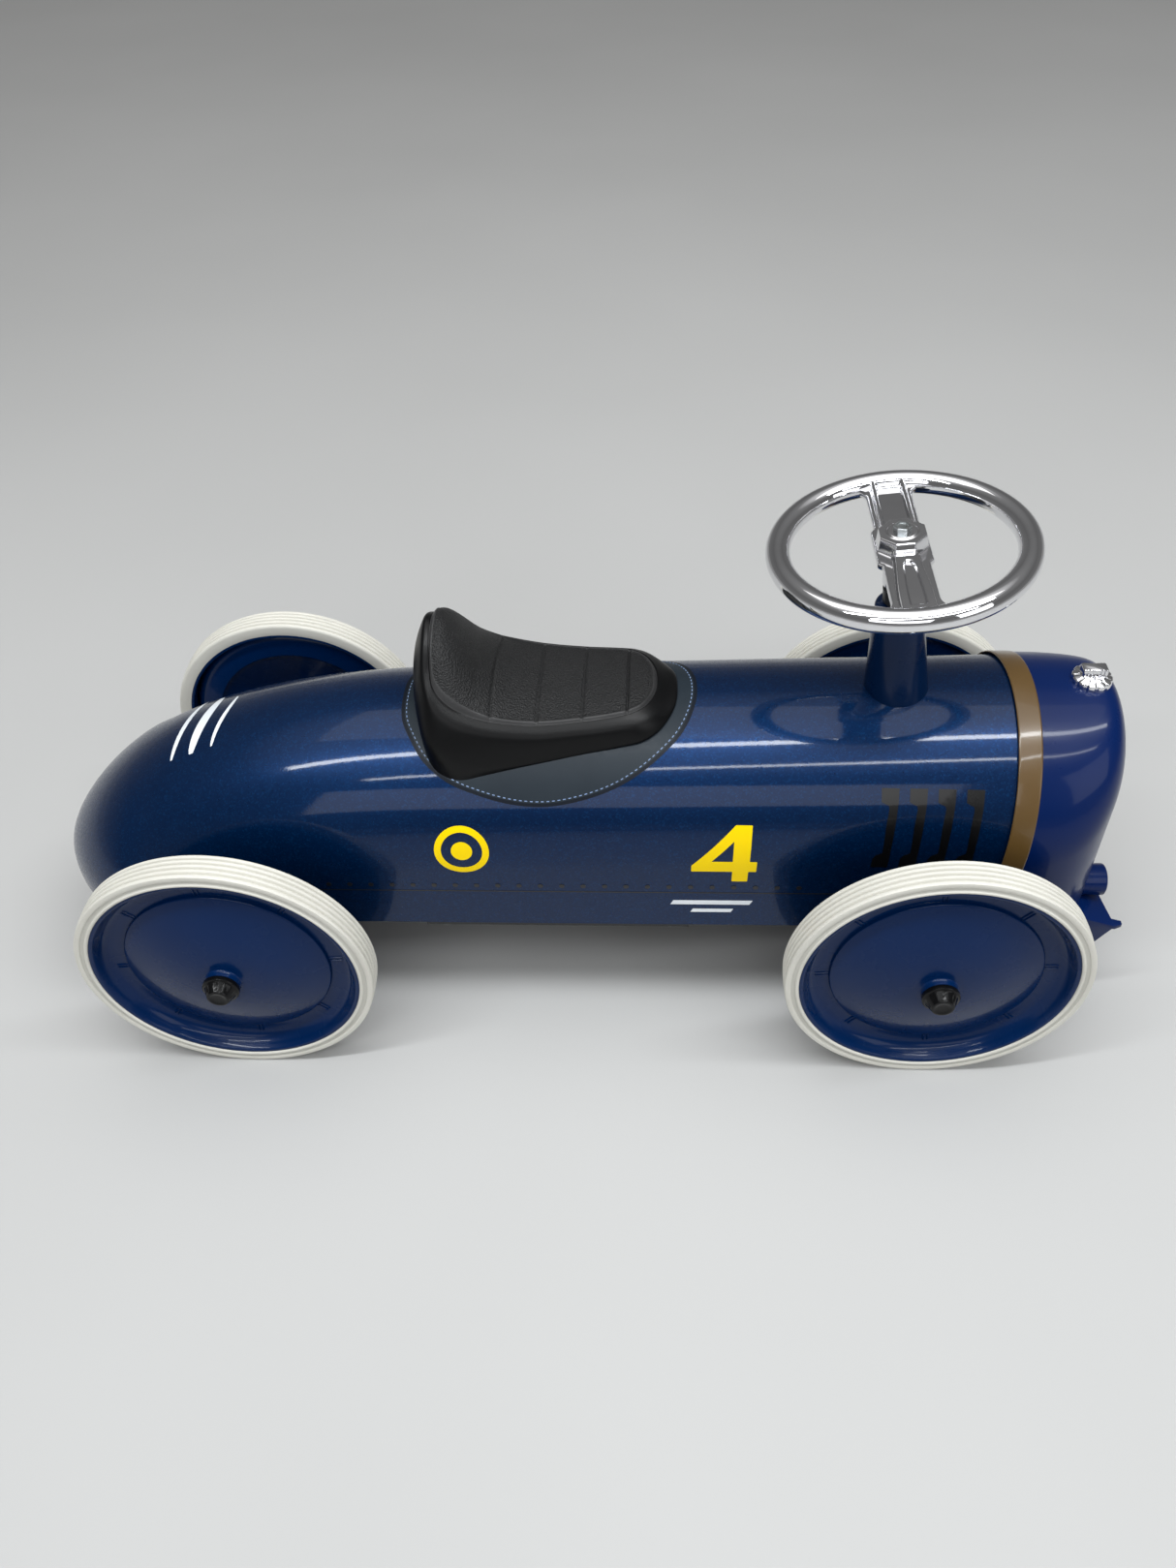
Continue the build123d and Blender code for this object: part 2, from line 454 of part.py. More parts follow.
# ------------------------------------------------------------------ seat (plain moulded form)
seat_tab = [  # x, half width at the foot, crown height, half width of the top panel, panel height
    (-101.0, 30.0, 262.0, 12.0, 257.0),
    (-98.0, 42.0, 281.0, 20.0, 274.0),
    (-92.0, 55.0, 294.0, 30.0, 285.0),
    (-84.0, 61.0, 300.0, 38.0, 286.0),
    (-74.0, 62.5, 296.5, 43.0, 279.0),
    (-62.0, 61.5, 282.0, 47.0, 268.0),
    (-48.0, 60.0, 267.5, 49.0, 257.5),
    (-30.0, 57.0, 258.5, 49.0, 252.5),
    (-8.0, 53.5, 254.6, 47.0, 250.5),
    (16.0, 50.0, 253.0, 43.5, 249.8),
    (36.0, 46.0, 251.6, 38.5, 249.0),
    (50.0, 40.0, 249.8, 31.0, 247.4),
    (60.0, 32.0, 247.0, 22.0, 244.8),
    (67.0, 22.0, 243.0, 13.0, 241.4),
    (71.0, 12.0, 239.8, 6.0, 239.2)]


def seat_section(x, yb, zt, yp, zp):
    pts = [(-yb, 190.0), (-yb - 0.8, 205.0), (-yb - 0.6, (zp + 216) / 2), (-yp - (yb - yp) * 0.62, zp - 3.2),
           (-yp, zp), (-yp * 0.5, zp + (zt - zp) * 0.8), (0, zt)]
    pts += [(-p, q) for p, q in reversed(pts[:-1])]
    v = [Vector(x, p, q) for p, q in pts]
    return Wire([Edge.make_spline(v), Edge.make_line(v[-1], v[0])])


seat = Solid.make_loft([seat_section(*r) for r in seat_tab]) - outer
seat_parts = sorted(seat.solids(), key=lambda q: -q.volume)
seat = seat_parts[0]
seat_screws = []
for x in (-62.0, 34.0):
    zt = t_shell(x)
    body_shell -= cyl((x, 0, zt - 12), (0, 0, 1), 2.2, 24)
    shank = cyl((x, 0, zt - 6.0), (0, 0, 1), 2.0, 16.0)
    seat -= shank
    seat_screws.append(shank + cyl((x, 0, zt - 5.4), (0, 0, 1), 4.6, 3.2))

# ------------------------------------------------------------------ cowl joint
tie_plates, cowl_screws = [], []
for s in (-1, 1):
    p = box(280.0, 312.0, s * 76.0, s * 83.0, BODY_Z0 + COWL_T, BODY_Z0 + COWL_T + 2.0)
    for x, zz in ((285.0, 0), (306.0, 0)):
        hole = cyl((x, s * 79.5, 88), (0, 0, 1), 1.9, 16)
        p -= hole
        body_shell -= hole
        nose_cowl -= hole
        cowl_screws.append(cyl((x, s * 79.5, BODY_Z0 - 2.0), (0, 0, 1), 3.4, 2.0)
                           + cyl((x, s * 79.5, BODY_Z0 - 0.1), (0, 0, 1), 1.8, 9.0))
        cowl_screws.append(hexnut((x, s * 79.5, BODY_Z0 + COWL_T + 2.0), (0, 0, 1), 6.0, 2.4, 1.8))
    tie_plates.append(p)
    front_apron -= box(300, 310.5, s * 75.4, s * 71.0, 90, 96)
apron_screws = []
for x, y in ((318.0, -66.0), (318.0, 66.0), (345.0, -28.0), (345.0, 28.0)):
    hole = cyl((x, y, 84), (0, 0, 1), 1.9, 16)
    front_apron -= hole
    nose_cowl -= hole
    apron_screws.append(cyl((x, y, 90.5), (0, 0, 1), 3.4, 2.0) + cyl((x, y, 92.4), (0, 0, 1), 1.8, 8.4))


def main_solid(shape):
    q = sorted(shape.solids(), key=lambda v: -v.volume)
    if len(q) > 1:
        print("dropped slivers:", [round(v.volume, 2) for v in q[1:]])
    return q[0]


print("body"); save("body_shell", main_solid(body_shell))
print("cowl"); save("nose_cowl", main_solid(nose_cowl))
print("band"); save("nose_band", main_solid(nose_band))
save("grille", main_solid(grille))
save("radiator_cap", main_solid(radiator_cap))
save("radiator_cap_nut", main_solid(cap_nut))
print("apron"); save("front_apron", main_solid(front_apron))
save("front_horn_left", main_solid(horns["left"]))
save("front_horn_right", main_solid(horns["right"]))
save("floor_plate", floor_plate)
save("floor_screws", floor_screws)
print("cone"); save("column_cone", main_solid(column_cone))
save("upper_column_bush", upper_bush)
save("lower_column_bush", lower_bush)
save("cone_screws", cone_screws)
print("bracket"); save("column_bracket", main_solid(column_bracket))
print("beam"); save("front_beam", main_solid(front_beam))
save("beam_bolts", beam_bolts)
save("kingpins", kingpins)
save("kingpin_nuts", kingpin_nuts)
print("rear"); save("rear_crossmember", main_solid(rear_crossmember))
save("rear_axle", rear_axle)
save("axle_block_left", main_solid(blocks["left"]))
save("axle_block_right", main_solid(blocks["right"]))
save("rear_bolts", rear_bolts)
save("rear_spacers", [rear_spacers["left"], rear_spacers["right"]])
save("rear_push_nuts", rear_nuts)
print("seat"); save("seat", main_solid(seat))
save("seat_screws", seat_screws)
save("cowl_tie_plates", tie_plates)
save("cowl_screws", cowl_screws)
save("apron_screws", apron_screws)
save("steering_column", steering_column)
print("crank"); save("crank_arm", main_solid(crank_arm))
save("crank_clip", crank_clip)
save("column_collar", column_collar)
print("swheel"); save("steering_wheel", main_solid(steering_wheel))
save("wheel_bolt", [wheel_bolt, wheel_washer])
for nm in ("left", "right"):
    save("knuckle_" + nm, main_solid(knuckles[nm]))
    save("knuckle_hardware_" + nm, [knuckle_clips[nm], stub_spacers[nm], stub_nuts[nm]])
save("tie_rod", main_solid(tie_rod))
for tag, d in wheels.items():
    save("rim_" + tag, main_solid(d["rim"]))
    save("tyre_" + tag, main_solid(d["tyre"]))
    save("hub_cap_" + tag, main_solid(d["cap"]))
    save("wheel_bush_" + tag, d["bush"])
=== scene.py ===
import bpy
import bmesh
import json
import math
import numpy as np
from mathutils import Vector, Matrix

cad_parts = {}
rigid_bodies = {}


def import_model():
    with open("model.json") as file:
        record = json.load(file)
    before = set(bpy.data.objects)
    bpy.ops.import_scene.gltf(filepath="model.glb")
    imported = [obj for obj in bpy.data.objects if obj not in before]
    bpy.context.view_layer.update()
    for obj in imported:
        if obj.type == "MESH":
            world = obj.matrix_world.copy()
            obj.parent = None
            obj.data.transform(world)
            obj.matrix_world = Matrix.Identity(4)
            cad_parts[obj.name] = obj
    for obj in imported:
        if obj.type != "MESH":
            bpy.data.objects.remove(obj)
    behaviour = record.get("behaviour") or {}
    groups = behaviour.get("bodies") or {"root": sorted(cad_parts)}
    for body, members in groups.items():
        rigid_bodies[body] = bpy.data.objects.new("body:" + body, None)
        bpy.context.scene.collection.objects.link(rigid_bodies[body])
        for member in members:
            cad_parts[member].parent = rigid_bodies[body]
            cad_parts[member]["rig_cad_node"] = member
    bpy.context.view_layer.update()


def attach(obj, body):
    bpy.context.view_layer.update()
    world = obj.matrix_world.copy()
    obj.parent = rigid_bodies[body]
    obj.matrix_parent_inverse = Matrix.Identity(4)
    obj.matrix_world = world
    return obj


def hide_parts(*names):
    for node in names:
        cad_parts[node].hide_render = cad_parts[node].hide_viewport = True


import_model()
scene = bpy.context.scene

# ------------------------------------------------------------------ sizes (mm, as in the CAD)
FRONT_X, REAR_X, AXLE_Z = 245.2, -235.8, 101.5
WHEEL_FACE = 140.6
BODY_W, Z0, SKIN, TAIL_X = 86.0, 95.5, 1.5, -387.2
SHELL_END, SLANT = 299.0, 0.07
COWL_W, COWL_TOP, COWL_TIP, COWL_T, COWL_X0 = 88.0, 247.6, 370.3, 2.0, 289.2
BAND_X0, BAND_X1, BAND_T = 285.0, 300.2, 0.6
COL_O = np.array([205.5, 0.0, 351.3])
TILT = math.radians(6.0)
AX = np.array([-math.sin(TILT), 0, math.cos(TILT)])
BXV = np.array([-math.cos(TILT), 0, -math.sin(TILT)])
YV = np.array([0.0, 1.0, 0.0])


# ------------------------------------------------------------------ body form
def w_shell(x):
    a = min(max((-315.0 - x) / (-315.0 - TAIL_X), 0.0), 1.0)
    return BODY_W * (1 - a ** 1.57) ** (1 / 1.57)


def t_shell(x):
    u = x + 125.0
    base = 235.0 + 0.0129 * (u + math.sqrt(u * u + 1600.0)) - 0.0129 * 40.0 * 0.3
    b = min(max((-61.4 - x) / (-61.4 - TAIL_X), 0.0), 1.0)
    return 96.0 + (base - 96.0) * (1 - b ** 2.45) ** (1 / 1.58)


def w_cowl(x):
    a = min(max((x - 299.0) / (COWL_TIP - 299.0), 0.0), 1.0)
    return COWL_W * (1 - a ** 2.56) ** (1 / 2.56)


def t_cowl(x):
    b = min(max((x - 337.5) / (COWL_TIP - 337.5), 0.0), 1.0)
    return 134.9 + (COWL_TOP - 134.9) * (1 - b ** 4.7) ** (1 / 4.24)


def form(x, wf, tf, z0=Z0, dw=0.0):
    w = max(wf(x) - dw, 0.02)
    t = max(tf(x) - dw, z0 + 0.05)
    r = min(w, (t - z0) * 0.93)
    return w, t, r, t - r


# ------------------------------------------------------------------ mesh helpers
def new_mesh(name, verts, faces, mat=None, smooth=True, scale=0.001, angle=None):
    me = bpy.data.meshes.new(name)
    me.from_pydata([tuple(float(c) * scale for c in v) for v in verts], [], faces)
    me.validate()
    me.update()
    ob = bpy.data.objects.new(name, me)
    scene.collection.objects.link(ob)
    mats = mat if isinstance(mat, (list, tuple)) else [mat]
    for m in mats:
        if m is not None:
            me.materials.append(m)
    if smooth:
        me.shade_smooth()
        if angle:
            me.set_sharp_from_angle(angle=math.radians(angle))
    return ob


def recalc(ob):
    bm = bmesh.new()
    bm.from_mesh(ob.data)
    bmesh.ops.recalc_face_normals(bm, faces=bm.faces)
    bm.to_mesh(ob.data)
    bm.free()
    return ob


def clean(ob, dist=1e-6):
    bm = bmesh.new()
    bm.from_mesh(ob.data)
    bmesh.ops.remove_doubles(bm, verts=bm.verts, dist=dist)
    bmesh.ops.dissolve_degenerate(bm, edges=bm.edges, dist=1e-7)
    bmesh.ops.recalc_face_normals(bm, faces=bm.faces)
    bm.to_mesh(ob.data)
    bm.free()
    return ob


def apply_mods(ob):
    dg = bpy.context.evaluated_depsgraph_get()
    dg.update()
    me = bpy.data.meshes.new_from_object(ob.evaluated_get(dg), depsgraph=dg)
    old = ob.data
    ob.modifiers.clear()
    ob.data = me
    bpy.data.meshes.remove(old)
    return ob


def lathe(name, prof, origin, axis, ref, seg=160, mat=None, closed=True, angle=40, face_mat=None):
    """Revolve (r, a) points about an axis. prof closed means last joins first."""
    axis = np.array(axis, float)
    ref = np.array(ref, float)
    third = np.cross(axis, ref)
    verts, faces, fm = [], [], []
    n = len(prof)
    idx = []
    for i, (r, a) in enumerate(prof):
        if r < 1e-6:
            idx.append([len(verts)] * seg)
            verts.append(np.array(origin) + axis * a)
        else:
            row = []
            for k in range(seg):
                th = 2 * math.pi * k / seg
                row.append(len(verts))
                verts.append(np.array(origin) + axis * a + (ref * math.cos(th) + third * math.sin(th)) * r)
            idx.append(row)
    m = n if closed else n - 1
    for i in range(m):
        j = (i + 1) % n
        for k in range(seg):
            k2 = (k + 1) % seg
            q = [idx[i][k], idx[i][k2], idx[j][k2], idx[j][k]]
            q2 = []
            for v in q:
                if v not in q2:
                    q2.append(v)
            if len(q2) > 2:
                faces.append(tuple(q2))
                fm.append(face_mat[i] if face_mat else 0)
    ob = new_mesh(name, verts, faces, mat, True)
    if face_mat:
        for p, k in zip(ob.data.polygons, fm):
            p.material_index = k
    recalc(ob)
    ob.data.shade_smooth()
    ob.data.set_sharp_from_angle(angle=math.radians(angle))
    return ob


def round_poly(pts, radii, seg=5, closed=True):
    """Polygon with rounded corners; radii one for all or a list."""
    out = []
    n = len(pts)
    for i in range(n):
        p = np.array(pts[i], float)
        if not closed and i in (0, n - 1):
            out.append(tuple(p))
            continue
        a = np.array(pts[i - 1], float)
        b = np.array(pts[(i + 1) % n], float)
        r = radii[i] if isinstance(radii, (list, tuple)) else radii
        u = a - p
        v = b - p
        lu, lv = np.linalg.norm(u), np.linalg.norm(v)
        if r <= 0 or lu < 1e-9 or lv < 1e-9:
            out.append(tuple(p))
            continue
        u /= lu
        v /= lv
        c = float(np.clip(u @ v, -1, 1))
        ang = math.acos(c)
        if ang > math.pi - 0.02:
            out.append(tuple(p))
            continue
        d = min(r / math.tan(ang / 2), lu * 0.48, lv * 0.48)
        p1 = p + u * d
        p2 = p + v * d
        for k in range(seg + 1):
            t = k / seg
            out.append(tuple((1 - t) ** 2 * p1 + 2 * t * (1 - t) * p + t * t * p2))
    return out


def ride(ob, body, *nodes):
    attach(ob, body)
    if nodes:
        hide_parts(*nodes)
    return ob


# ------------------------------------------------------------------ materials
def material(name):
    m = bpy.data.materials.new(name)
    m.use_nodes = True
    nt = m.node_tree
    b = nt.nodes["Principled BSDF"]
    return m, nt, b


def N(nt, kind, **kw):
    n = nt.nodes.new(kind)
    for k, v in kw.items():
        if k.startswith("in_"):
            key = k[3:]
            key = int(key) if key.isdigit() else key.replace("_", " ")
            n.inputs[key].default_value = v
        else:
            setattr(n, k, v)
    return n


def coords(nt):
    return N(nt, "ShaderNodeTexCoord").outputs["Object"]


def noise(nt, vec, scale, detail=3.0, rough=0.5, dims="3D"):
    n = N(nt, "ShaderNodeTexNoise")
    n.noise_dimensions = dims
    n.inputs["Scale"].default_value = scale
    n.inputs["Detail"].default_value = detail
    n.inputs["Roughness"].default_value = rough
    nt.links.new(vec, n.inputs["Vector"])
    return n.outputs["Fac"]


def ramp(nt, fac, stops):
    r = N(nt, "ShaderNodeValToRGB")
    el = r.color_ramp.elements
    while len(el) < len(stops):
        el.new(0.5)
    for e, (p, c) in zip(el, stops):
        e.position = p
        e.color = (c, c, c, 1) if isinstance(c, (int, float)) else (*c, 1)
    nt.links.new(fac, r.inputs["Fac"])
    return r.outputs["Color"]


def mixc(nt, fac, a, b, mode="MIX"):
    m = N(nt, "ShaderNodeMix", data_type="RGBA", blend_type=mode)
    if isinstance(fac, (int, float)):
        m.inputs["Factor"].default_value = fac
    else:
        nt.links.new(fac, m.inputs["Factor"])
    for s, v in (("A", a), ("B", b)):
        sock = m.inputs[6] if s == "A" else m.inputs[7]
        if isinstance(v, (tuple, list)):
            sock.default_value = (*v, 1) if len(v) == 3 else v
        else:
            nt.links.new(v, sock)
    return m.outputs[2]


def math_n(nt, op, a, b=None):
    m = N(nt, "ShaderNodeMath", operation=op)
    for i, v in enumerate((a, b)):
        if v is None:
            continue
        if isinstance(v, (int, float)):
            m.inputs[i].default_value = v
        else:
            nt.links.new(v, m.inputs[i])
    return m.outputs[0]


def maprange(nt, v, a, b, c, d):
    m = N(nt, "ShaderNodeMapRange")
    m.inputs["From Min"].default_value = a
    m.inputs["From Max"].default_value = b
    m.inputs["To Min"].default_value = c
    m.inputs["To Max"].default_value = d
    nt.links.new(v, m.inputs["Value"])
    return m.outputs["Result"]


def bump(nt, height, strength, dist, normal=None):
    b = N(nt, "ShaderNodeBump")
    b.inputs["Strength"].default_value = strength
    b.inputs["Distance"].default_value = dist
    nt.links.new(height, b.inputs["Height"])
    if normal is not None:
        nt.links.new(normal, b.inputs["Normal"])
    return b.outputs["Normal"]


def flake_paint(name, dark, light, flake, metallic=0.45, rough=0.36, coat_rough=0.05, flake_amt=0.35):
    """Metallic paint: base, fine flakes, light orange peel under clear coat."""
    m, nt, b = material(name)
    v = coords(nt)
    big = noise(nt, v, 6.0, 3.0)
    col = mixc(nt, maprange(nt, big, 0.3, 0.7, 0.0, 1.0), dark, light)
    vor = N(nt, "ShaderNodeTexVoronoi")
    vor.inputs["Scale"].default_value = 1100.0
    nt.links.new(v, vor.inputs["Vector"])
    sep = N(nt, "ShaderNodeSeparateColor")
    nt.links.new(vor.outputs["Color"], sep.inputs[0])
    fl = maprange(nt, sep.outputs[0], 0.72, 1.0, 0.0, flake_amt)
    col = mixc(nt, fl, col, flake)
    nt.links.new(col, b.inputs["Base Color"])
    b.inputs["Metallic"].default_value = metallic
    rr = maprange(nt, sep.outputs[1], 0.0, 1.0, rough - 0.07, rough + 0.09)
    nt.links.new(rr, b.inputs["Roughness"])
    fine = bump(nt, sep.outputs[2], 0.16, 0.0002)
    peel = noise(nt, v, 260.0, 2.0)
    nrm = bump(nt, peel, 0.05, 0.0004, fine)
    nt.links.new(nrm, b.inputs["Normal"])
    b.inputs["Specular IOR Level"].default_value = 0.10
    b.inputs["Coat Weight"].default_value = 0.65
    b.inputs["Coat Roughness"].default_value = coat_rough
    b.inputs["Coat IOR"].default_value = 1.40
    cn = bump(nt, noise(nt, v, 210.0, 2.0), 0.03, 0.0005)
    nt.links.new(cn, b.inputs["Coat Normal"])
    return m


def gloss(name, c1, c2, rough=0.25, coat=0.6, coat_rough=0.04, metallic=0.0, scale=9.0, peel=0.03, spec=0.35):
    m, nt, b = material(name)
    v = coords(nt)
    big = noise(nt, v, scale, 4.0)
    nt.links.new(mixc(nt, maprange(nt, big, 0.3, 0.7, 0, 1), c1, c2), b.inputs["Base Color"])
    nt.links.new(maprange(nt, noise(nt, v, 40.0, 5.0), 0.3, 0.7, rough - 0.04, rough + 0.06), b.inputs["Roughness"])
    b.inputs["Metallic"].default_value = metallic
    b.inputs["Specular IOR Level"].default_value = spec
    b.inputs["Coat Weight"].default_value = coat
    b.inputs["Coat Roughness"].default_value = coat_rough
    b.inputs["Coat IOR"].default_value = 1.32
    nt.links.new(bump(nt, noise(nt, v, 230.0, 2.0), peel, 0.0005), b.inputs["Normal"])
    return m


BODY_BLUE = flake_paint("body_paint_navy_metallic", (0.0, 0.0125, 0.054), (0.0, 0.0155, 0.065),
                        (0.006, 0.085, 0.26), metallic=0.55, rough=0.34, coat_rough=0.07, flake_amt=0.18)
COWL_BLUE = gloss("cowl_gloss_blue", (0.0005, 0.0095, 0.062), (0.0008, 0.0115, 0.074), rough=0.30, coat=0.4, coat_rough=0.08, spec=0.10)
CONE_BLUE = gloss("cone_gloss_navy", (0.0006, 0.009, 0.038), (0.001, 0.011, 0.044), rough=0.28, coat=0.35, spec=0.10)
WHEEL_BLUE = gloss("wheel_gloss_navy", (0.0, 0.012, 0.060), (0.0, 0.0145, 0.070), rough=0.26, coat=0.35, metallic=0.0,
                   coat_rough=0.05, spec=0.10)
BAND_BROWN = gloss("band_olive_brown", (0.090, 0.050, 0.014), (0.115, 0.066, 0.019), rough=0.32, coat=0.8, coat_rough=0.08)
CAP_BLACK = gloss("hub_cap_black", (0.0025, 0.0026, 0.003), (0.0045, 0.0045, 0.005), rough=0.22, coat=0.2, spec=0.12)


def chrome(name, base=(0.80, 0.80, 0.82), rough=0.055, wav=0.10):
    m, nt, b = material(name)
    v = coords(nt)
    nt.links.new(mixc(nt, maprange(nt, noise(nt, v, 18.0, 4.0), 0.35, 0.75, 0.0, 1.0), base,
                      tuple(c * 0.86 for c in base)), b.inputs["Base Color"])
    b.inputs["Metallic"].default_value = 1.0
    nt.links.new(maprange(nt, noise(nt, v, 60.0, 5.0), 0.35, 0.7, rough * 0.6, rough * 1.9), b.inputs["Roughness"])
    h = noise(nt, v, 38.0, 3.0)
    n1 = bump(nt, h, wav, 0.0012)
    nt.links.new(bump(nt, noise(nt, v, 420.0, 2.0), 0.03, 0.0002, n1), b.inputs["Normal"])
    return m


CHROME = chrome("chrome_die_cast")
CHROME_RING = chrome("chrome_ring", rough=0.04, wav=0.05)
ZINC, _nt, _b = material("zinc_plated")
_v = coords(_nt)
_nt.links.new(mixc(_nt, maprange(_nt, noise(_nt, _v, 90.0, 4.0), 0.3, 0.7, 0, 1), (0.42, 0.45, 0.46), (0.58, 0.60, 0.60)),
              _b.inputs["Base Color"])
_b.inputs["Metallic"].default_value = 1.0
_nt.links.new(maprange(_nt, noise(_nt, _v, 160.0, 4.0), 0.3, 0.7, 0.22, 0.40), _b.inputs["Roughness"])
_nt.links.new(bump(_nt, noise(_nt, _v, 700.0, 3.0), 0.08, 0.0002), _b.inputs["Normal"])


def tyre_mat(name, c1, c2, dirt):
    m, nt, b = material(name)
    v = coords(nt)
    base = mixc(nt, maprange(nt, noise(nt, v, 24.0, 5.0, 0.6), 0.3, 0.7, 0, 1), c1, c2)
    spots = maprange(nt, noise(nt, v, 160.0, 6.0, 0.7), 0.60, 0.78, 0.0, 0.30)
    nt.links.new(mixc(nt, spots, base, dirt), b.inputs["Base Color"])
    nt.links.new(maprange(nt, noise(nt, v, 70.0, 4.0), 0.3, 0.7, 0.46, 0.62), b.inputs["Roughness"])
    b.inputs["Specular IOR Level"].default_value = 0.30
    b.inputs["Subsurface Weight"].default_value = 0.0
    nt.links.new(bump(nt, noise(nt, v, 900.0, 3.0), 0.10, 0.0002), b.inputs["Normal"])
    return m


TYRE = tyre_mat("tyre_ivory_rubber", (0.605, 0.592, 0.535), (0.645, 0.632, 0.575), (0.46, 0.44, 0.37))
# darker copy of the ivory rubber for the sidewall groove: painted shade in the recess
TYRE_GROOVE_PAINTED_SHADE = tyre_mat("tyre_ivory_groove_painted_shade", (0.490, 0.482, 0.435), (0.530, 0.522, 0.472), (0.38, 0.36, 0.31))


def black_vinyl(name, grain, c1, c2, rough, bump_s, dist, spec=0.2):
    m, nt, b = material(name)
    v = coords(nt)
    nt.links.new(mixc(nt, maprange(nt, noise(nt, v, 14.0, 4.0), 0.3, 0.7, 0, 1), c1, c2), b.inputs["Base Color"])
    g = noise(nt, v, grain, 4.0, 0.6)
    vor = N(nt, "ShaderNodeTexVoronoi")
    vor.inputs["Scale"].default_value = grain * 0.9
    nt.links.new(v, vor.inputs["Vector"])
    h = math_n(nt, "ADD", g, vor.outputs["Distance"])
    nt.links.new(bump(nt, h, bump_s, dist), b.inputs["Normal"])
    nt.links.new(maprange(nt, g, 0.3, 0.7, rough - 0.08, rough + 0.08), b.inputs["Roughness"])
    b.inputs["Specular IOR Level"].default_value = spec
    return m


SEAT_TOP = black_vinyl("seat_grained_black", 900.0, (0.0055, 0.0056, 0.006), (0.009, 0.0092, 0.0098), 0.50, 0.9, 0.0006, 0.34)
SEAT_SIDE = black_vinyl("seat_smooth_black", 1400.0, (0.0014, 0.0015, 0.0018), (0.0022, 0.0023, 0.0027), 0.36, 0.05, 0.0002, 0.20)
SKIRT = black_vinyl("skirt_print_grey", 300.0, (0.012, 0.018, 0.025), (0.018, 0.026, 0.034), 0.40, 0.02, 0.0002, 0.15)
SKIRT_EDGE = black_vinyl("skirt_print_edge", 300.0, (0.005, 0.007, 0.012), (0.007, 0.010, 0.016), 0.42, 0.02, 0.0002, 0.12)
STITCH = gloss("stitch_pale_blue", (0.15, 0.22, 0.38), (0.19, 0.27, 0.44), rough=0.6, coat=0.0)
YELLOW = gloss("decal_yellow", (0.87, 0.61, 0.0), (0.92, 0.66, 0.0), rough=0.35, coat=0.15, coat_rough=0.08, spec=0.10)
WHITE = gloss("decal_white", (0.74, 0.78, 0.82), (0.80, 0.84, 0.88), rough=0.35, coat=0.5, coat_rough=0.06)
BLACK_PRINT = gloss("decal_black", (0.0016, 0.0016, 0.0018), (0.003, 0.003, 0.0034), rough=0.30, coat=0.8, coat_rough=0.06)
PINK_EDGE = gloss("decal_black_line", (0.004, 0.004, 0.006), (0.006, 0.006, 0.008), rough=0.35, coat=0.6)
CHASSIS = gloss("chassis_satin_black", (0.010, 0.010, 0.011), (0.018, 0.018, 0.019), rough=0.42, coat=0.1)
NYLON = gloss("nylon_natural", (0.55, 0.53, 0.47), (0.62, 0.60, 0.54), rough=0.5, coat=0.0)
GRILLE_M = chrome("grille_satin_metal", base=(0.50, 0.50, 0.52), rough=0.22, wav=0.05)
DARK_GAP = gloss("gap_seal_dark", (0.002, 0.003, 0.012), (0.004, 0.005, 0.018), rough=0.5, coat=0.1)


# ------------------------------------------------------------------ body shell
def cutters(name, boxes, cyls=()):
    bm = bmesh.new()
    for (x0, x1, y0, y1, z0, z1) in boxes:
        m = Matrix.Translation(((x0 + x1) / 2000, (y0 + y1) / 2000, (z0 + z1) / 2000)) @ Matrix.Diagonal(
            (abs(x1 - x0) / 1000, abs(y1 - y0) / 1000, abs(z1 - z0) / 1000, 1))
        bmesh.ops.create_cube(bm, size=1.0, matrix=m)
    for (p, d, r, l) in cyls:
        q = Vector(d).to_track_quat("Z", "Y").to_matrix().to_4x4()
        m = Matrix.Translation(Vector(p) / 1000 + Vector(d).normalized() * l / 2000) @ q
        bmesh.ops.create_cone(bm, cap_ends=True, segments=48, radius1=r / 1000, radius2=r / 1000, depth=l / 1000, matrix=m)
    me = bpy.data.meshes.new(name)
    bm.to_mesh(me)
    bm.free()
    ob = bpy.data.objects.new(name, me)
    scene.collection.objects.link(ob)
    return ob


def cut(ob, cutter):
    md = ob.modifiers.new("cut", "BOOLEAN")
    md.operation = "DIFFERENCE"
    md.solver = "EXACT"
    md.object = cutter
    bpy.context.view_layer.update()
    apply_mods(ob)
    bpy.data.objects.remove(cutter)
    return ob


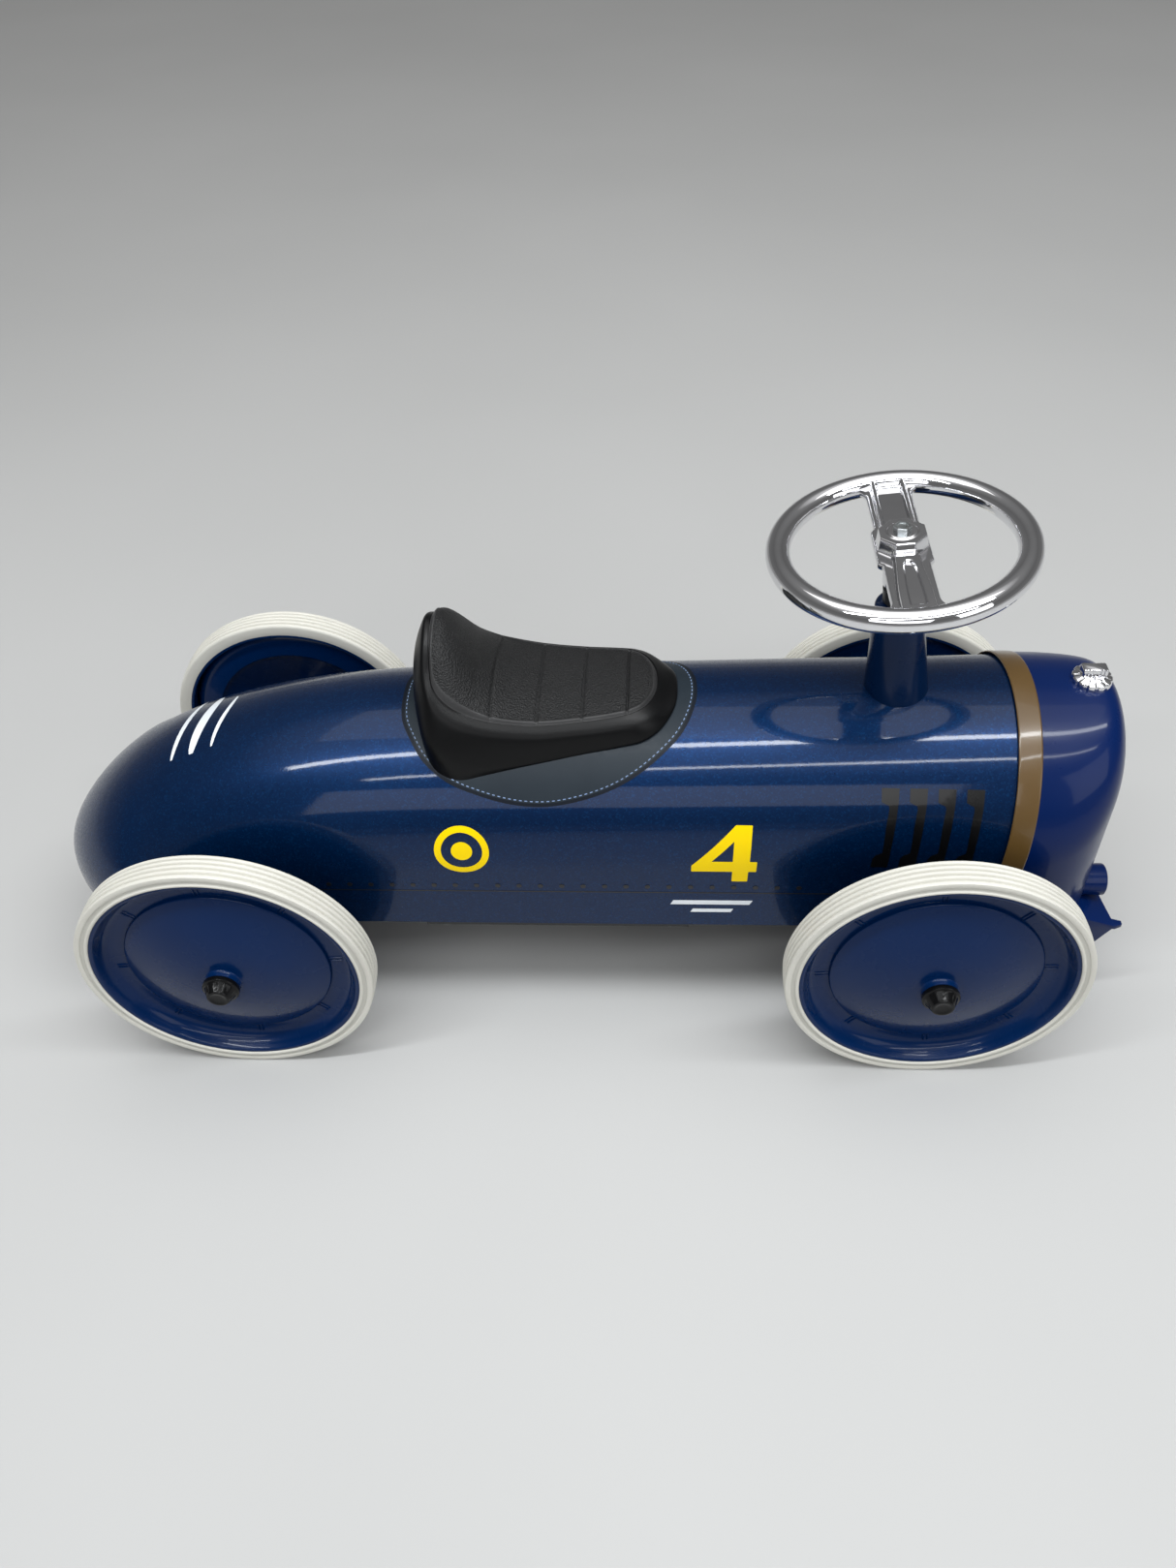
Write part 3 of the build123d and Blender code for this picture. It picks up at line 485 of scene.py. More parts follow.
def closed_body(name, xs_, wf, tf, z0, dw, lean, mat=None):
    """Closed form through stations; dw is the distance inside the outer skin; lean tilts the last or first stations."""
    n_arc, n_side = 96, 12
    rows = []
    for x, sh_ in zip(xs_, lean):
        w, t, r, zc = form(x, wf, tf, z0, dw)
        pts = [(-w, z0 + (zc - z0) * i / n_side) for i in range(n_side)]
        pts += [(-w * math.cos(math.pi * i / n_arc), zc + r * math.sin(math.pi * i / n_arc)) for i in range(n_arc + 1)]
        pts += [(w, z0 + (zc - z0) * i / n_side) for i in range(n_side - 1, -1, -1)]
        pts += [(w * (1 - 2 * i / 16), z0) for i in range(1, 16)]
        row = []
        for (y, z) in pts:
            xx = x + SLANT * (z - 164.0) * sh_
            if sh_ > 0:
                w2, t2, r2_, zc2 = form(xx, wf, tf, z0, dw)
                y *= w2 / w
                z += (t2 - t) * max(0.0, (z - z0) / (t - z0))
            row.append((xx, y, z))
        rows.append(row)
    n = len(rows[0])
    verts = [p for r_ in rows for p in r_]
    faces = []
    for s_ in range(len(rows) - 1):
        a_, b_ = s_ * n, (s_ + 1) * n
        faces += [(a_ + k, b_ + k, b_ + (k + 1) % n, a_ + (k + 1) % n) for k in range(n)]
    for base, flip in ((0, True), ((len(rows) - 1) * n, False)):
        c = len(verts)
        verts.append(tuple(np.mean(np.array(rows[0 if base == 0 else -1]), 0)))
        for k in range(n):
            f = (base + k, base + (k + 1) % n, c)
            faces.append(f[::-1] if flip else f)
    ob = new_mesh(name, verts, faces, mat)
    recalc(ob)
    return ob


def prism_plan(name, outline, z0, z1):
    n = len(outline)
    verts = [(x, y, z0) for x, y in outline] + [(x, y, z1) for x, y in outline]
    faces = [tuple(range(n)), tuple(range(n, 2 * n))]
    faces += [(i, (i + 1) % n, n + (i + 1) % n, n + i) for i in range(n)]
    ob = new_mesh(name, verts, faces, None, False)
    recalc(ob)
    return ob


def inset_plan(wf, x0, x1, inset, n=70):
    xs_ = [x0 + (x1 - x0) * (1 - math.cos(math.pi * i / n)) / 2 for i in range(n + 1)]
    up_ = [(x, max(wf(x) - inset, 0.8)) for x in xs_]
    return up_ + [(x, -y) for x, y in reversed(up_)]


tail = [TAIL_X + 0.06 + (-315.0 - TAIL_X) * (1 - math.cos(math.pi / 2 * i / 40)) for i in range(41)]
mid = [-315.0 + (60.0 - -315.0) * i / 60 for i in range(1, 61)]
fore = [60.0 + (SHELL_END - 60.0) * i / 30 for i in range(1, 31)]
xs = tail + mid + fore
sh = [0.0 if x < 190 else ((x - 190) / (SHELL_END - 190)) for x in xs]
shell = closed_body("body_shell_skin", xs, w_shell, t_shell, Z0, 0.0, sh, BODY_BLUE)
xi = [x for x in [TAIL_X + 3.0 + (-315.0 - TAIL_X - 3.0) * (1 - math.cos(math.pi / 2 * i / 30)) for i in range(31)]] + mid + fore + [SHELL_END + 12]
shi = [0.0 if x < 190 else ((x - 190) / (SHELL_END - 190)) for x in xi]
cut(shell, closed_body("shell_inside", xi, w_shell, t_shell, Z0 + SKIN, SKIN, shi))
cut(shell, prism_plan("shell_mouth", inset_plan(w_shell, TAIL_X + 13, 330.0, 12.0), Z0 - 5, Z0 + SKIN + 1))
boxes = []
for s in (-1, 1):
    boxes.append((232.4, 258.0, s * 80.0, s * 92.0, 97.2, 108.0))
    boxes.append((REAR_X - 5.5, REAR_X + 5.5, s * 70.0, s * 92.0, 90.0, 107.5))
cyls = [(tuple(COL_O + AX * -140), tuple(AX), 12.0, 50.0)]
cut(shell, cutters("cut_shell", boxes, cyls))
shell.data.shade_smooth()
shell.data.set_sharp_from_angle(angle=math.radians(35))
ride(shell, "car_body", "body_shell")

# ------------------------------------------------------------------ nose cowl
cx = [COWL_X0 + (299.0 - COWL_X0) * i / 4 for i in range(5)]
cx += [299.0 + (COWL_TIP - 299.0) * math.sin(math.pi / 2 * i / 70) for i in range(1, 70)]
csh = [max(0.0, 1 - (x - COWL_X0) / (330.0 - COWL_X0)) for x in cx]
cowl = closed_body("nose_cowl_skin", cx, w_cowl, t_cowl, Z0, 0.0, csh, COWL_BLUE)
ci = [COWL_X0 - 8, COWL_X0] + [COWL_X0 + (COWL_TIP - 2.6 - COWL_X0) * math.sin(math.pi / 2 * i / 50) for i in range(1, 51)]
csi = [max(0.0, min(1.0, 1 - (x - COWL_X0) / (330.0 - COWL_X0))) for x in ci]
cut(cowl, closed_body("cowl_inside", ci, lambda x: w_cowl(x + (2.0 if x > 330 else 0)), lambda x: t_cowl(x + (2.0 if x > 330 else 0)),
                      Z0 + COWL_T, COWL_T, csi))
cut(cowl, prism_plan("cowl_mouth", inset_plan(w_cowl, 270.0, 356.0, 12.0), Z0 - 5, Z0 + COWL_T + 1))
GW, GZ0, GZ1 = 38.0, 112.0, 196.0


def rrect(hw, z0, z1, r, seg=14):
    c = [(hw - r, z1 - r, 0), (-(hw - r), z1 - r, 90), (-(hw - r), z0 + r, 180), (hw - r, z0 + r, 270)]
    out = []
    for (y, z, a0) in c:
        for k in range(seg + 1):
            a = math.radians(a0 + 90 * k / seg)
            out.append((y + r * math.cos(a), z + r * math.sin(a)))
    return out


def prism_x(name, outline, x0, x1):
    n = len(outline)
    verts = [(x0, y, z) for y, z in outline] + [(x1, y, z) for y, z in outline]
    faces = [tuple(range(n))[::-1], tuple(range(n, 2 * n))]
    faces += [(i, (i + 1) % n, n + (i + 1) % n, n + i) for i in range(n)]
    ob = new_mesh(name, verts, faces, None, False)
    recalc(ob)
    return ob


cut(cowl, prism_x("cut_grille", rrect(GW, GZ0, GZ1, 20.0), 352.0, 380.0))
cut(cowl, cutters("cut_cowl", [], [((250, s * 45.0, 101.0), (1, 0, 0), 11.9, 160.0) for s in (-1, 1)]))
cut(cowl, cutters("cut_cowl2", [(330, 392, s * 45 - 11.9, s * 45 + 11.9, 88, 101) for s in (-1, 1)]))
cowl.data.shade_smooth()
cowl.data.set_sharp_from_angle(angle=math.radians(35))
ride(cowl, "car_body", "nose_cowl")
print("cowl faces", len(cowl.data.polygons), "shell faces", len(shell.data.polygons))

# dark gap between the shell and the cowl's rear edge is the step of the two skins

# ------------------------------------------------------------------ strap round the cowl
def strap():
    verts, faces = [], []
    prof = [(0.0, -0.15), (0.0, 0.35), (0.25, BAND_T), (0.5, BAND_T + 0.05), (1.0, BAND_T + 0.05)]
    L = BAND_X1 - BAND_X0
    us = [0.0, 0.0, 0.35, 1.2, L / 2, L - 1.2, L - 0.35, L, L]
    hs = [-0.4, BAND_T - 0.3, BAND_T, BAND_T + 0.1, BAND_T + 0.12, BAND_T + 0.1, BAND_T, BAND_T - 0.3, -0.4]
    n_arc, n_side = 120, 12
    rows = []
    for u, h in zip(us, hs):
        x = BAND_X0 + u
        row = []
        w, t, r, zc = form(x, w_cowl, t_cowl)
        path = [(-1, 0, -w, Z0 + 0.2 + (zc - Z0 - 0.2) * i / n_side) for i in range(n_side)]
        path += [(-math.cos(math.pi * i / n_arc), math.sin(math.pi * i / n_arc), -w * math.cos(math.pi * i / n_arc),
                  zc + r * math.sin(math.pi * i / n_arc)) for i in range(n_arc + 1)]
        path += [(1, 0, w, Z0 + 0.2 + (zc - Z0 - 0.2) * i / n_side) for i in range(n_side - 1, -1, -1)]
        for (ny, nz, y, z) in path:
            xx = x + SLANT * (z - 164.0)
            row.append((xx, y + ny * h, z + nz * h))
        rows.append(row)
    n = len(rows[0])
    verts = [p for rr in rows for p in rr]
    m = len(rows)
    for a in range(m):
        b = (a + 1) % m
        for k in range(n - 1):
            faces.append((a * n + k, a * n + k + 1, b * n + k + 1, b * n + k))
    faces.append(tuple(a * n for a in range(m)))
    faces.append(tuple(a * n + n - 1 for a in range(m - 1, -1, -1)))
    ob = new_mesh("strap_band", verts, faces, BAND_BROWN)
    recalc(ob)
    ob.data.shade_smooth()
    ob.data.set_sharp_from_angle(angle=math.radians(50))
    return ob


ride(strap(), "car_body", "nose_band")

# ------------------------------------------------------------------ printed markings on the shell
def side_point(x, z, side, off=0.16):
    """Point on the shell at x and height z."""
    w, t, r, zc = form(x, w_shell, t_shell)
    if z <= zc:
        y, ny, nz = w, 1.0, 0.0
    else:
        q = min(max((z - zc) / r, 0.0), 0.99999)
        c = math.sqrt(1 - q * q)
        y = w * c
        ny, nz = c, q
    return (x, side * (y + ny * off), z + nz * off)


def top_point(x, phi, off=0.16):
    """phi is the angle from the top, positive to +Y; beyond 90 degrees it runs down the side (mm per degree kept)."""
    w, t, r, zc = form(x, w_shell, t_shell)
    s = 1 if phi >= 0 else -1
    a = abs(phi)
    if a <= 90:
        ra = math.radians(a)
        return (x, s * (w * math.sin(ra) + off * math.sin(ra)), zc + r * math.cos(ra) + off * math.cos(ra))
    return (x, s * (w + off), zc - (a - 90) * math.pi / 180 * w)


def tri_fill(outer, holes=(), step=3.0):
    """Triangulated planar region, cut into small faces so that it can be wrapped."""
    bm = bmesh.new()
    for loop in [outer] + list(holes):
        vs = [bm.verts.new((p[0], p[1], 0)) for p in loop]
        for i in range(len(vs)):
            bm.edges.new((vs[i], vs[(i + 1) % len(vs)]))
    bmesh.ops.triangle_fill(bm, use_beauty=True, use_dissolve=False, edges=bm.edges[:])
    xs_ = [v.co.x for v in bm.verts]
    ys_ = [v.co.y for v in bm.verts]
    for axis, lo, hi in ((0, min(xs_), max(xs_)), (1, min(ys_), max(ys_))):
        k = lo + step
        while k < hi - 1e-6:
            co = [0, 0, 0]
            no = [0, 0, 0]
            co[axis] = k
            no[axis] = 1
            bmesh.ops.bisect_plane(bm, geom=bm.verts[:] + bm.edges[:] + bm.faces[:], dist=1e-5, plane_co=co, plane_no=no)
            k += step
    bmesh.ops.triangulate(bm, faces=[f for f in bm.faces if len(f.verts) > 4])
    verts = [tuple(v.co) for v in bm.verts]
    bm.verts.index_update()
    faces = [tuple(v.index for v in f.verts) for f in bm.faces]
    bm.free()
    return verts, faces


def decal(name, regions, mapper, mat, lift=0.16, thick=0.1):
    """Thin closed film: top at lift, skirt down to the surface."""
    bm = bmesh.new()
    for outer, holes in regions:
        v, f = tri_fill(outer, holes)
        top = [bm.verts.new(Vector(mapper(p[0], p[1], lift)) / 1000) for p in v]
        bot = [bm.verts.new(Vector(mapper(p[0], p[1], lift - thick)) / 1000) for p in v]
        edges = {}
        for ff in f:
            try:
                bm.faces.new([top[i] for i in ff])
                bm.faces.new([bot[i] for i in ff][::-1])
            except ValueError:
                continue
            for a, b in zip(ff, ff[1:] + ff[:1]):
                key = (min(a, b), max(a, b))
                edges.setdefault(key, []).append((a, b))
        for key, lst in edges.items():
            if len(lst) == 1:
                a, b = lst[0]
                try:
                    bm.faces.new([top[a], bot[a], bot[b], top[b]])
                except ValueError:
                    pass
    bmesh.ops.recalc_face_normals(bm, faces=bm.faces)
    me = bpy.data.meshes.new(name)
    bm.to_mesh(me)
    bm.free()
    me.materials.append(mat)
    me.shade_smooth()
    me.set_sharp_from_angle(angle=math.radians(35))
    ob = bpy.data.objects.new(name, me)
    scene.collection.objects.link(ob)
    ride(ob, "car_body")
    return ob


def circle(cx_, cz_, r, n=72, a0=0.0):
    return [(cx_ + r * math.cos(a0 + 2 * math.pi * i / n), cz_ + r * math.sin(a0 + 2 * math.pi * i / n)) for i in range(n)]


four_out = [(110.0, 189.0), (120.9, 189.0), (120.2, 160.8), (125.2, 160.8), (125.0, 151.4), (119.7, 151.4),
            (119.5, 141.7), (108.9, 141.7), (109.0, 151.4), (81.4, 151.4), (81.4, 157.0)]
four_in = [(109.2, 177.6), (108.9, 160.8), (94.6, 160.8)]
louvre = [(203.3, 211.7), (214.6, 211.7), (214.3, 203.6), (213.5, 193.8), (212.1, 174.0), (211.6, 164.4), (211.3, 157.0),
          (200.3, 157.0), (200.6, 165.0), (202.4, 167.8), (206.6, 169.9), (207.2, 189.0), (208.6, 200.6), (208.0, 202.3),
          (205.6, 203.2), (203.3, 204.4)]
for s, nm in ((-1, "right"), (1, "left")):
    mp = (lambda sd: (lambda x, z, off: side_point(x, z, sd, off)))(s)
    fo, fi = four_out, four_in
    if s > 0:      # reads the right way round on the other side too
        mx = (81.4 + 125.2)
        fo = [(mx - x, z) for x, z in four_out]
        fi = [(mx - x, z) for x, z in four_in]
    decal("number_four_" + nm, [(round_poly(fo, 0.6, 2), [fi])], mp, YELLOW, lift=0.20)
    # plain ring and dot
    c = (-72.9, 167.6)
    decal("ring_badge_" + nm, [(circle(*c, 18.6), [circle(*c, 14.0)]), (circle(*c, 7.2, 48), [])],
          mp, YELLOW, lift=0.20)
    decal("louvre_print_" + nm, [([(x + 18.13 * k, z) for x, z in louvre], []) for k in range(4)], mp, BLACK_PRINT, lift=0.14)
    dots = [(circle(81.5 + 14.7 * k, 135.3, 1.85, 16), []) for k in range(-18, 6)]
    decal("seam_dots_" + nm, dots, mp, PINK_EDGE, lift=0.30, thick=0.28)
    line = [(-300.0 + 8.0 * i, 129.05) for i in range(72)]
    line = line + [(x, 130.0) for x, _ in reversed(line)]
    decal("seam_line_" + nm, [(line, [])], mp, PINK_EDGE, lift=0.14)
    # two plain pale bars where the maker's lettering was
    b1 = [(68.0, 117.4), (122.4, 117.4), (124.4, 121.6), (70.0, 121.6)]
    b2 = [(82.0, 109.4), (110.0, 109.4), (111.6, 112.8), (83.6, 112.8)]
    decal("pale_bars_" + nm, [(b1, []), (b2, [])], mp, WHITE, lift=0.16)

# plain pale stripes across the tail, where the lettering was
stripes = []
for k, (x0_, wd, p0, p1) in enumerate(((-278.0, 4.2, -17.0, 32.0), (-262.5, 8.0, -17.0, 27.0), (-247.0, 3.4, -16.0, 20.0))):
    n = 24
    lo, hi = [], []
    for i in range(n + 1):
        p = p0 + (p1 - p0) * i / n
        t = (p - p0) / (p1 - p0)
        half = wd / 2 * (0.35 + 0.65 * math.sin(math.pi * t) ** 0.6)
        xm = x0_ + 3.0 * math.sin(math.pi * (t - 0.5))
        lo.append((xm - half, p))
        hi.append((xm + half, p))
    stripes.append((lo + hi[::-1], []))


def tri_map(x, p, off):
    return top_point(x, p, off)


decal("tail_stripes", stripes, tri_map, WHITE, lift=0.18)

# ------------------------------------------------------------------ printed skirt under the seat
sk = [(-115.3, 0), (-114, 14), (-108, 24.2), (-97.4, 36.2), (-81.4, 45.6), (-62.6, 51.2), (-39.3, 55.8), (-15.8, 57.2), (7.6, 54.8), (31, 49.4), (51, 41.1), (69.5, 29.5), (78.5, 20), (83.6, 9.5), (85, 0)]


def smooth_closed(pts, n=240):
    """Closed Catmull-Rom through points, evenly resampled."""
    P = np.array(pts, float)
    m = len(P)
    out = []
    for i in range(m):
        p0, p1, p2, p3 = P[i - 1], P[i], P[(i + 1) % m], P[(i + 2) % m]
        for k in range(16):
            t = k / 16
            out.append(0.5 * ((2 * p1) + (-p0 + p2) * t + (2 * p0 - 5 * p1 + 4 * p2 - p3) * t * t + (-p0 + 3 * p1 - 3 * p2 + p3) * t ** 3))
    out = np.array(out)
    seg = np.linalg.norm(np.diff(np.vstack([out, out[:1]]), axis=0), axis=1)
    s = np.concatenate([[0], np.cumsum(seg)])
    ext = np.vstack([out, out[:1]])
    g = np.linspace(0, s[-1], n, endpoint=False)
    return np.stack([np.interp(g, s, ext[:, j]) for j in range(ext.shape[1])], 1)


ARC = math.pi / 180 * 86.0
sk_mm = [(x, p * ARC) for x, p in sk]
sk_full = sk_mm + [(x, -p) for x, p in reversed(sk_mm[1:-1])]
sk_out = smooth_closed(sk_full, 260)


def inset_loop(P, d):
    nxt = np.roll(P, -1, 0) - np.roll(P, 1, 0)
    nrm = np.stack([nxt[:, 1], -nxt[:, 0]], 1)
    nrm /= np.linalg.norm(nrm, axis=1)[:, None]
    c = P.mean(0)
    if ((P - c) * nrm).sum() < 0:
        nrm = -nrm
    return P - nrm * d


def skirt_map(x, q, off):
    return top_point(x, q / ARC, off)


sk_in = inset_loop(sk_out, 2.3)
decal("seat_skirt_edge", [([tuple(p) for p in sk_out], [[tuple(p) for p in sk_in]])], skirt_map, SKIRT_EDGE, lift=0.16)
decal("seat_skirt_print", [([tuple(p) for p in sk_in], [])], skirt_map, SKIRT, lift=0.16)
st = inset_loop(sk_out, 3.5)
dash = []
m = smooth_closed([tuple(p) for p in st[::4]], 620)
for i in range(0, 620, 4):
    a, b_, c_ = m[i], m[(i + 1) % 620], m[(i + 2) % 620]
    d = (c_ - a) / np.linalg.norm(c_ - a)
    nn = np.array([-d[1], d[0]]) * 0.30
    dash.append(([tuple(a - nn), tuple(c_ - nn), tuple(c_ + nn), tuple(a + nn)], []))
decal("seat_skirt_stitches", dash, skirt_map, STITCH, lift=0.32, thick=0.24)

# ------------------------------------------------------------------ seat
def body_z(x, y):
    w, t, r, zc = form(x, w_shell, t_shell)
    q = min(abs(y) / w, 0.999)
    return zc + r * math.sqrt(1 - q * q)


# crease of the panel, shoulder, side, foot (x, |y|, z), from the back round the near side to the front
SEAT = [
    ((-89.8, 0, 298.6), (-94.9, 0, 296.0), (-103.2, 0, 270), (-102.0, 0)),
    ((-89.5, 17, 291.3), (-94.9, 18.5, 287.6), (-102.5, 20.0, 262), (-101.0, 20)),
    ((-88.7, 29.5, 278.0), (-94.2, 33.0, 273.0), (-99.5, 37.0, 252), (-98.2, 37)),
    ((-86.5, 38.0, 270.0), (-90.5, 43.5, 264.0), (-94.5, 50.0, 242), (-93.5, 50)),
    ((-79.5, 43.3, 262.0), (-82.5, 50.3, 255.0), (-86.0, 58.0, 234), (-85.0, 57.6)),
    ((-68.0, 46.0, 255.5), (-70.0, 53.5, 248.0), (-72.0, 60.6, 227), (-72.0, 60.8)),
    ((-50.0, 46.5, 249.3), (-51.0, 53.5, 242.0), (-53.0, 58.8, 223), (-54.0, 58.4)),
    ((-22.0, 44.3, 244.6), (-22.0, 50.8, 237.5), (-23.0, 54.0, 222), (-23.0, 53.2)),
    ((8.0, 40.2, 244.4), (8.5, 46.4, 238.0), (9.0, 48.8, 225.5), (9.0, 48.0)),
    ((30.0, 36.9, 245.8), (32.0, 43.0, 240.0), (34.0, 45.6, 229), (33.0, 44.2)),
    ((42.0, 33.4, 246.8), (46.0, 39.6, 241.5), (49.5, 42.6, 232), (48.5, 41.0)),
    ((51.0, 26.0, 247.2), (56.5, 31.0, 242.5), (61.5, 33.4, 235.5), (60.5, 32.4)),
    ((57.0, 13.5, 247.4), (63.3, 16.0, 243.5), (69.6, 17.6, 239.8), (68.8, 17.0)),
    ((58.7, 0, 247.5), (65.5, 0, 244.0), (71.4, 0, 240.8), (71.0, 0))]
SPINE = [(-110, 298.6), (-89.8, 298.6), (-82, 299.3), (-75, 293.2), (-68, 283.0), (-60, 271.0), (-50, 260.8), (-40, 254.8),
         (-28, 251.0), (-8, 248.6), (16, 248.9), (36, 250.3), (50, 249.6), (58.7, 247.5), (80, 247.4)]


def crom(P, u, closed=True):
    P = np.asarray(P, float)
    m = len(P)
    out = np.zeros((len(u), P.shape[1]))
    for j, t in enumerate(u):
        i = int(math.floor(t))
        f = t - i
        g = (lambda k: P[k % m]) if closed else (lambda k: P[min(max(k, 0), m - 1)])
        p0, p1, p2, p3 = g(i - 1), g(i), g(i + 1), g(i + 2)
        out[j] = 0.5 * ((2 * p1) + (-p0 + p2) * f + (2 * p0 - 5 * p1 + 4 * p2 - p3) * f * f + (-p0 + 3 * p1 - 3 * p2 + p3) * f ** 3)
    return out


def seat_mesh():
    NS = 720
    loops = []
    for c in range(4):
        near = [(r[c][0], -r[c][1], r[c][2] if c < 3 else 0) for r in SEAT]
        full = near + [(x, -y, z) for x, y, z in reversed(near[1:-1])]
        loops.append(crom(full, np.linspace(0, len(full), NS, endpoint=False)))
    C, S, B, F = loops
    for i in range(NS):
        F[i, 2] = body_z(F[i, 0], F[i, 1]) - 0.8
        B[i, 2] = max(B[i, 2], F[i, 2] + 2.5)
    sx = np.array([p[0] for p in SPINE], float)
    sz = np.array([p[1] for p in SPINE], float)

    def spine(x):
        i = int(np.clip(np.searchsorted(sx, x) - 1, 0, len(sx) - 2))
        t = i + (x - sx[i]) / (sx[i + 1] - sx[i])
        return crom(np.stack([sz], 1), [t], closed=False)[0, 0]

    # edge half width and height as functions of x
    half = [i for i in range(NS // 2 + 1)]
    ex, ey, ez = C[half, 0], -C[half, 1], C[half, 2]
    order = np.argsort(ex)
    ex, ey, ez = ex[order], ey[order], ez[order]
    rows, tags = [], []
    # side: foot -> side -> shoulder -> crease
    n_side = 34
    side_t = np.linspace(0, 3, n_side)
    grid = np.zeros((n_side, NS, 3))
    for i in range(NS):
        grid[:, i, :] = crom(np.array([F[i], B[i], S[i], C[i]]), side_t, closed=False)
    rows = [grid[k] for k in range(n_side)]
    tags = ["side"] * n_side
    # panel
    d_list = [0.35, 0.7, 1.05, 1.4, 1.8, 2.2, 2.6, 3.0, 3.5, 4.1, 4.9]
    target = np.zeros((NS, 2))
    for i in range(NS):
        f = min(max((C[i, 0] + 89.8) / (58.7 + 89.8), 0.0), 1.0)
        target[i] = (-68.0 + f * (44.0 + 68.0), 0.0)
    L = np.linalg.norm(target - C[:, :2], axis=1)
    nq = 64
    for k in range(len(d_list) + nq):
        row = np.zeros((NS, 3))
        for i in range(NS):
            if k < len(d_list):
                d = d_list[k]
            else:
                d = 4.9 + (L[i] - 4.9) * (k - len(d_list) + 1) / nq
            q = d / L[i]
            x = C[i, 0] * (1 - q) + target[i, 0] * q
            y = C[i, 1] * (1 - q)
            ye = max(float(np.interp(x, ex, ey)), 0.5)
            ze = float(np.interp(x, ex, ez))
            zs = float(spine(x))
            yy = min(abs(y) / ye, 1.0)
            z = ze + (zs - ze) * (1 - yy ** 2.0) ** 0.85
            # seam valley and piped bead inside it
            z -= 0.95 * math.exp(-((d - 0.9) / 0.7) ** 2)
            z += 0.55 * math.exp(-((d - 2.9) / 1.0) ** 2)
            for gx in (-50.0, -20.5, 9.0, 38.5):
                gxx = gx + 0.012 * y
                z -= 1.25 * math.exp(-((x - gxx) / 0.85) ** 2) * min(max((d - 0.4) / 1.2, 0.0), 1.0)
            row[i] = (x, y, z)
        rows.append(row)
        tags.append("bead" if 0.9 < (d_list[k] if k < len(d_list) else 9) < 4.0 else ("side" if k < 2 else "top"))
    verts = [tuple(p) for r in rows for p in r]
    faces, fm = [], []
    for a in range(len(rows) - 1):
        for i in range(NS):
            j = (i + 1) % NS
            faces.append((a * NS + i, a * NS + j, (a + 1) * NS + j, (a + 1) * NS + i))
            fm.append({"side": 0, "bead": 2, "top": 1}[tags[a + 1]])
    # underside follows the foot
    base = len(verts)
    k_in = 8
    for q in range(1, k_in + 1):
        for i in range(NS):
            f = q / k_in
            x = F[i, 0] * (1 - f) + (-14.0) * f
            y = F[i, 1] * (1 - f)
            verts.append((x, y, body_z(x, y) - 0.8))
    prev = 0
    for q in range(k_in):
        cur = base + q * NS
        for i in range(NS):
            j = (i + 1) % NS
            faces.append((prev + j, prev + i, cur + i, cur + j))
            fm.append(0)
        prev = cur
    ob = new_mesh("seat_saddle_pad", verts, faces, [SEAT_SIDE, SEAT_TOP, SEAT_BEAD])
    for p, k in zip(ob.data.polygons, fm):
        p.material_index = k
    clean(ob, 1e-5)
    ob.data.shade_smooth()
    return ob


# lighter, glossier ring on the piped bead: partly wear, partly a painted highlight along the bead
SEAT_BEAD = black_vinyl("seat_bead_wear_and_painted_highlight", 500.0, (0.016, 0.016, 0.0165), (0.045, 0.045, 0.046), 0.36, 0.25, 0.0004)
pad = seat_mesh()
ride(pad, "car_body", "seat")


# ------------------------------------------------------------------ steering wheel
def col(s, b=0.0, y=0.0):
    return COL_O + AX * s + BXV * b + YV * y


def ring():
    R, r = 74.65, 7.6
    n, m = 300, 56
    verts, faces = [], []
    for i in range(n):
        th = 2 * math.pi * i / n
        rr = r * (1 + 0.006 * math.sin(5 * th + 0.7) + 0.004 * math.sin(9 * th))
        for k in range(m):
            ph = 2 * math.pi * k / m
            rad = R + rr * math.cos(ph)
            verts.append(COL_O + BXV * rad * math.cos(th) + YV * rad * math.sin(th) + AX * rr * 0.985 * math.sin(ph))
    for i in range(n):
        for k in range(m):
            a, b = i * m + k, ((i + 1) % n) * m + k
            c, d = ((i + 1) % n) * m + (k + 1) % m, i * m + (k + 1) % m
            faces.append((a, b, c, d))
    ob = new_mesh("steering_ring", verts, faces, CHROME_RING)
    recalc(ob)
    return ob


def sstep(x, a, b):
    t = min(max((x - a) / (b - a), 0.0), 1.0)
    return t * t * (3 - 2 * t)


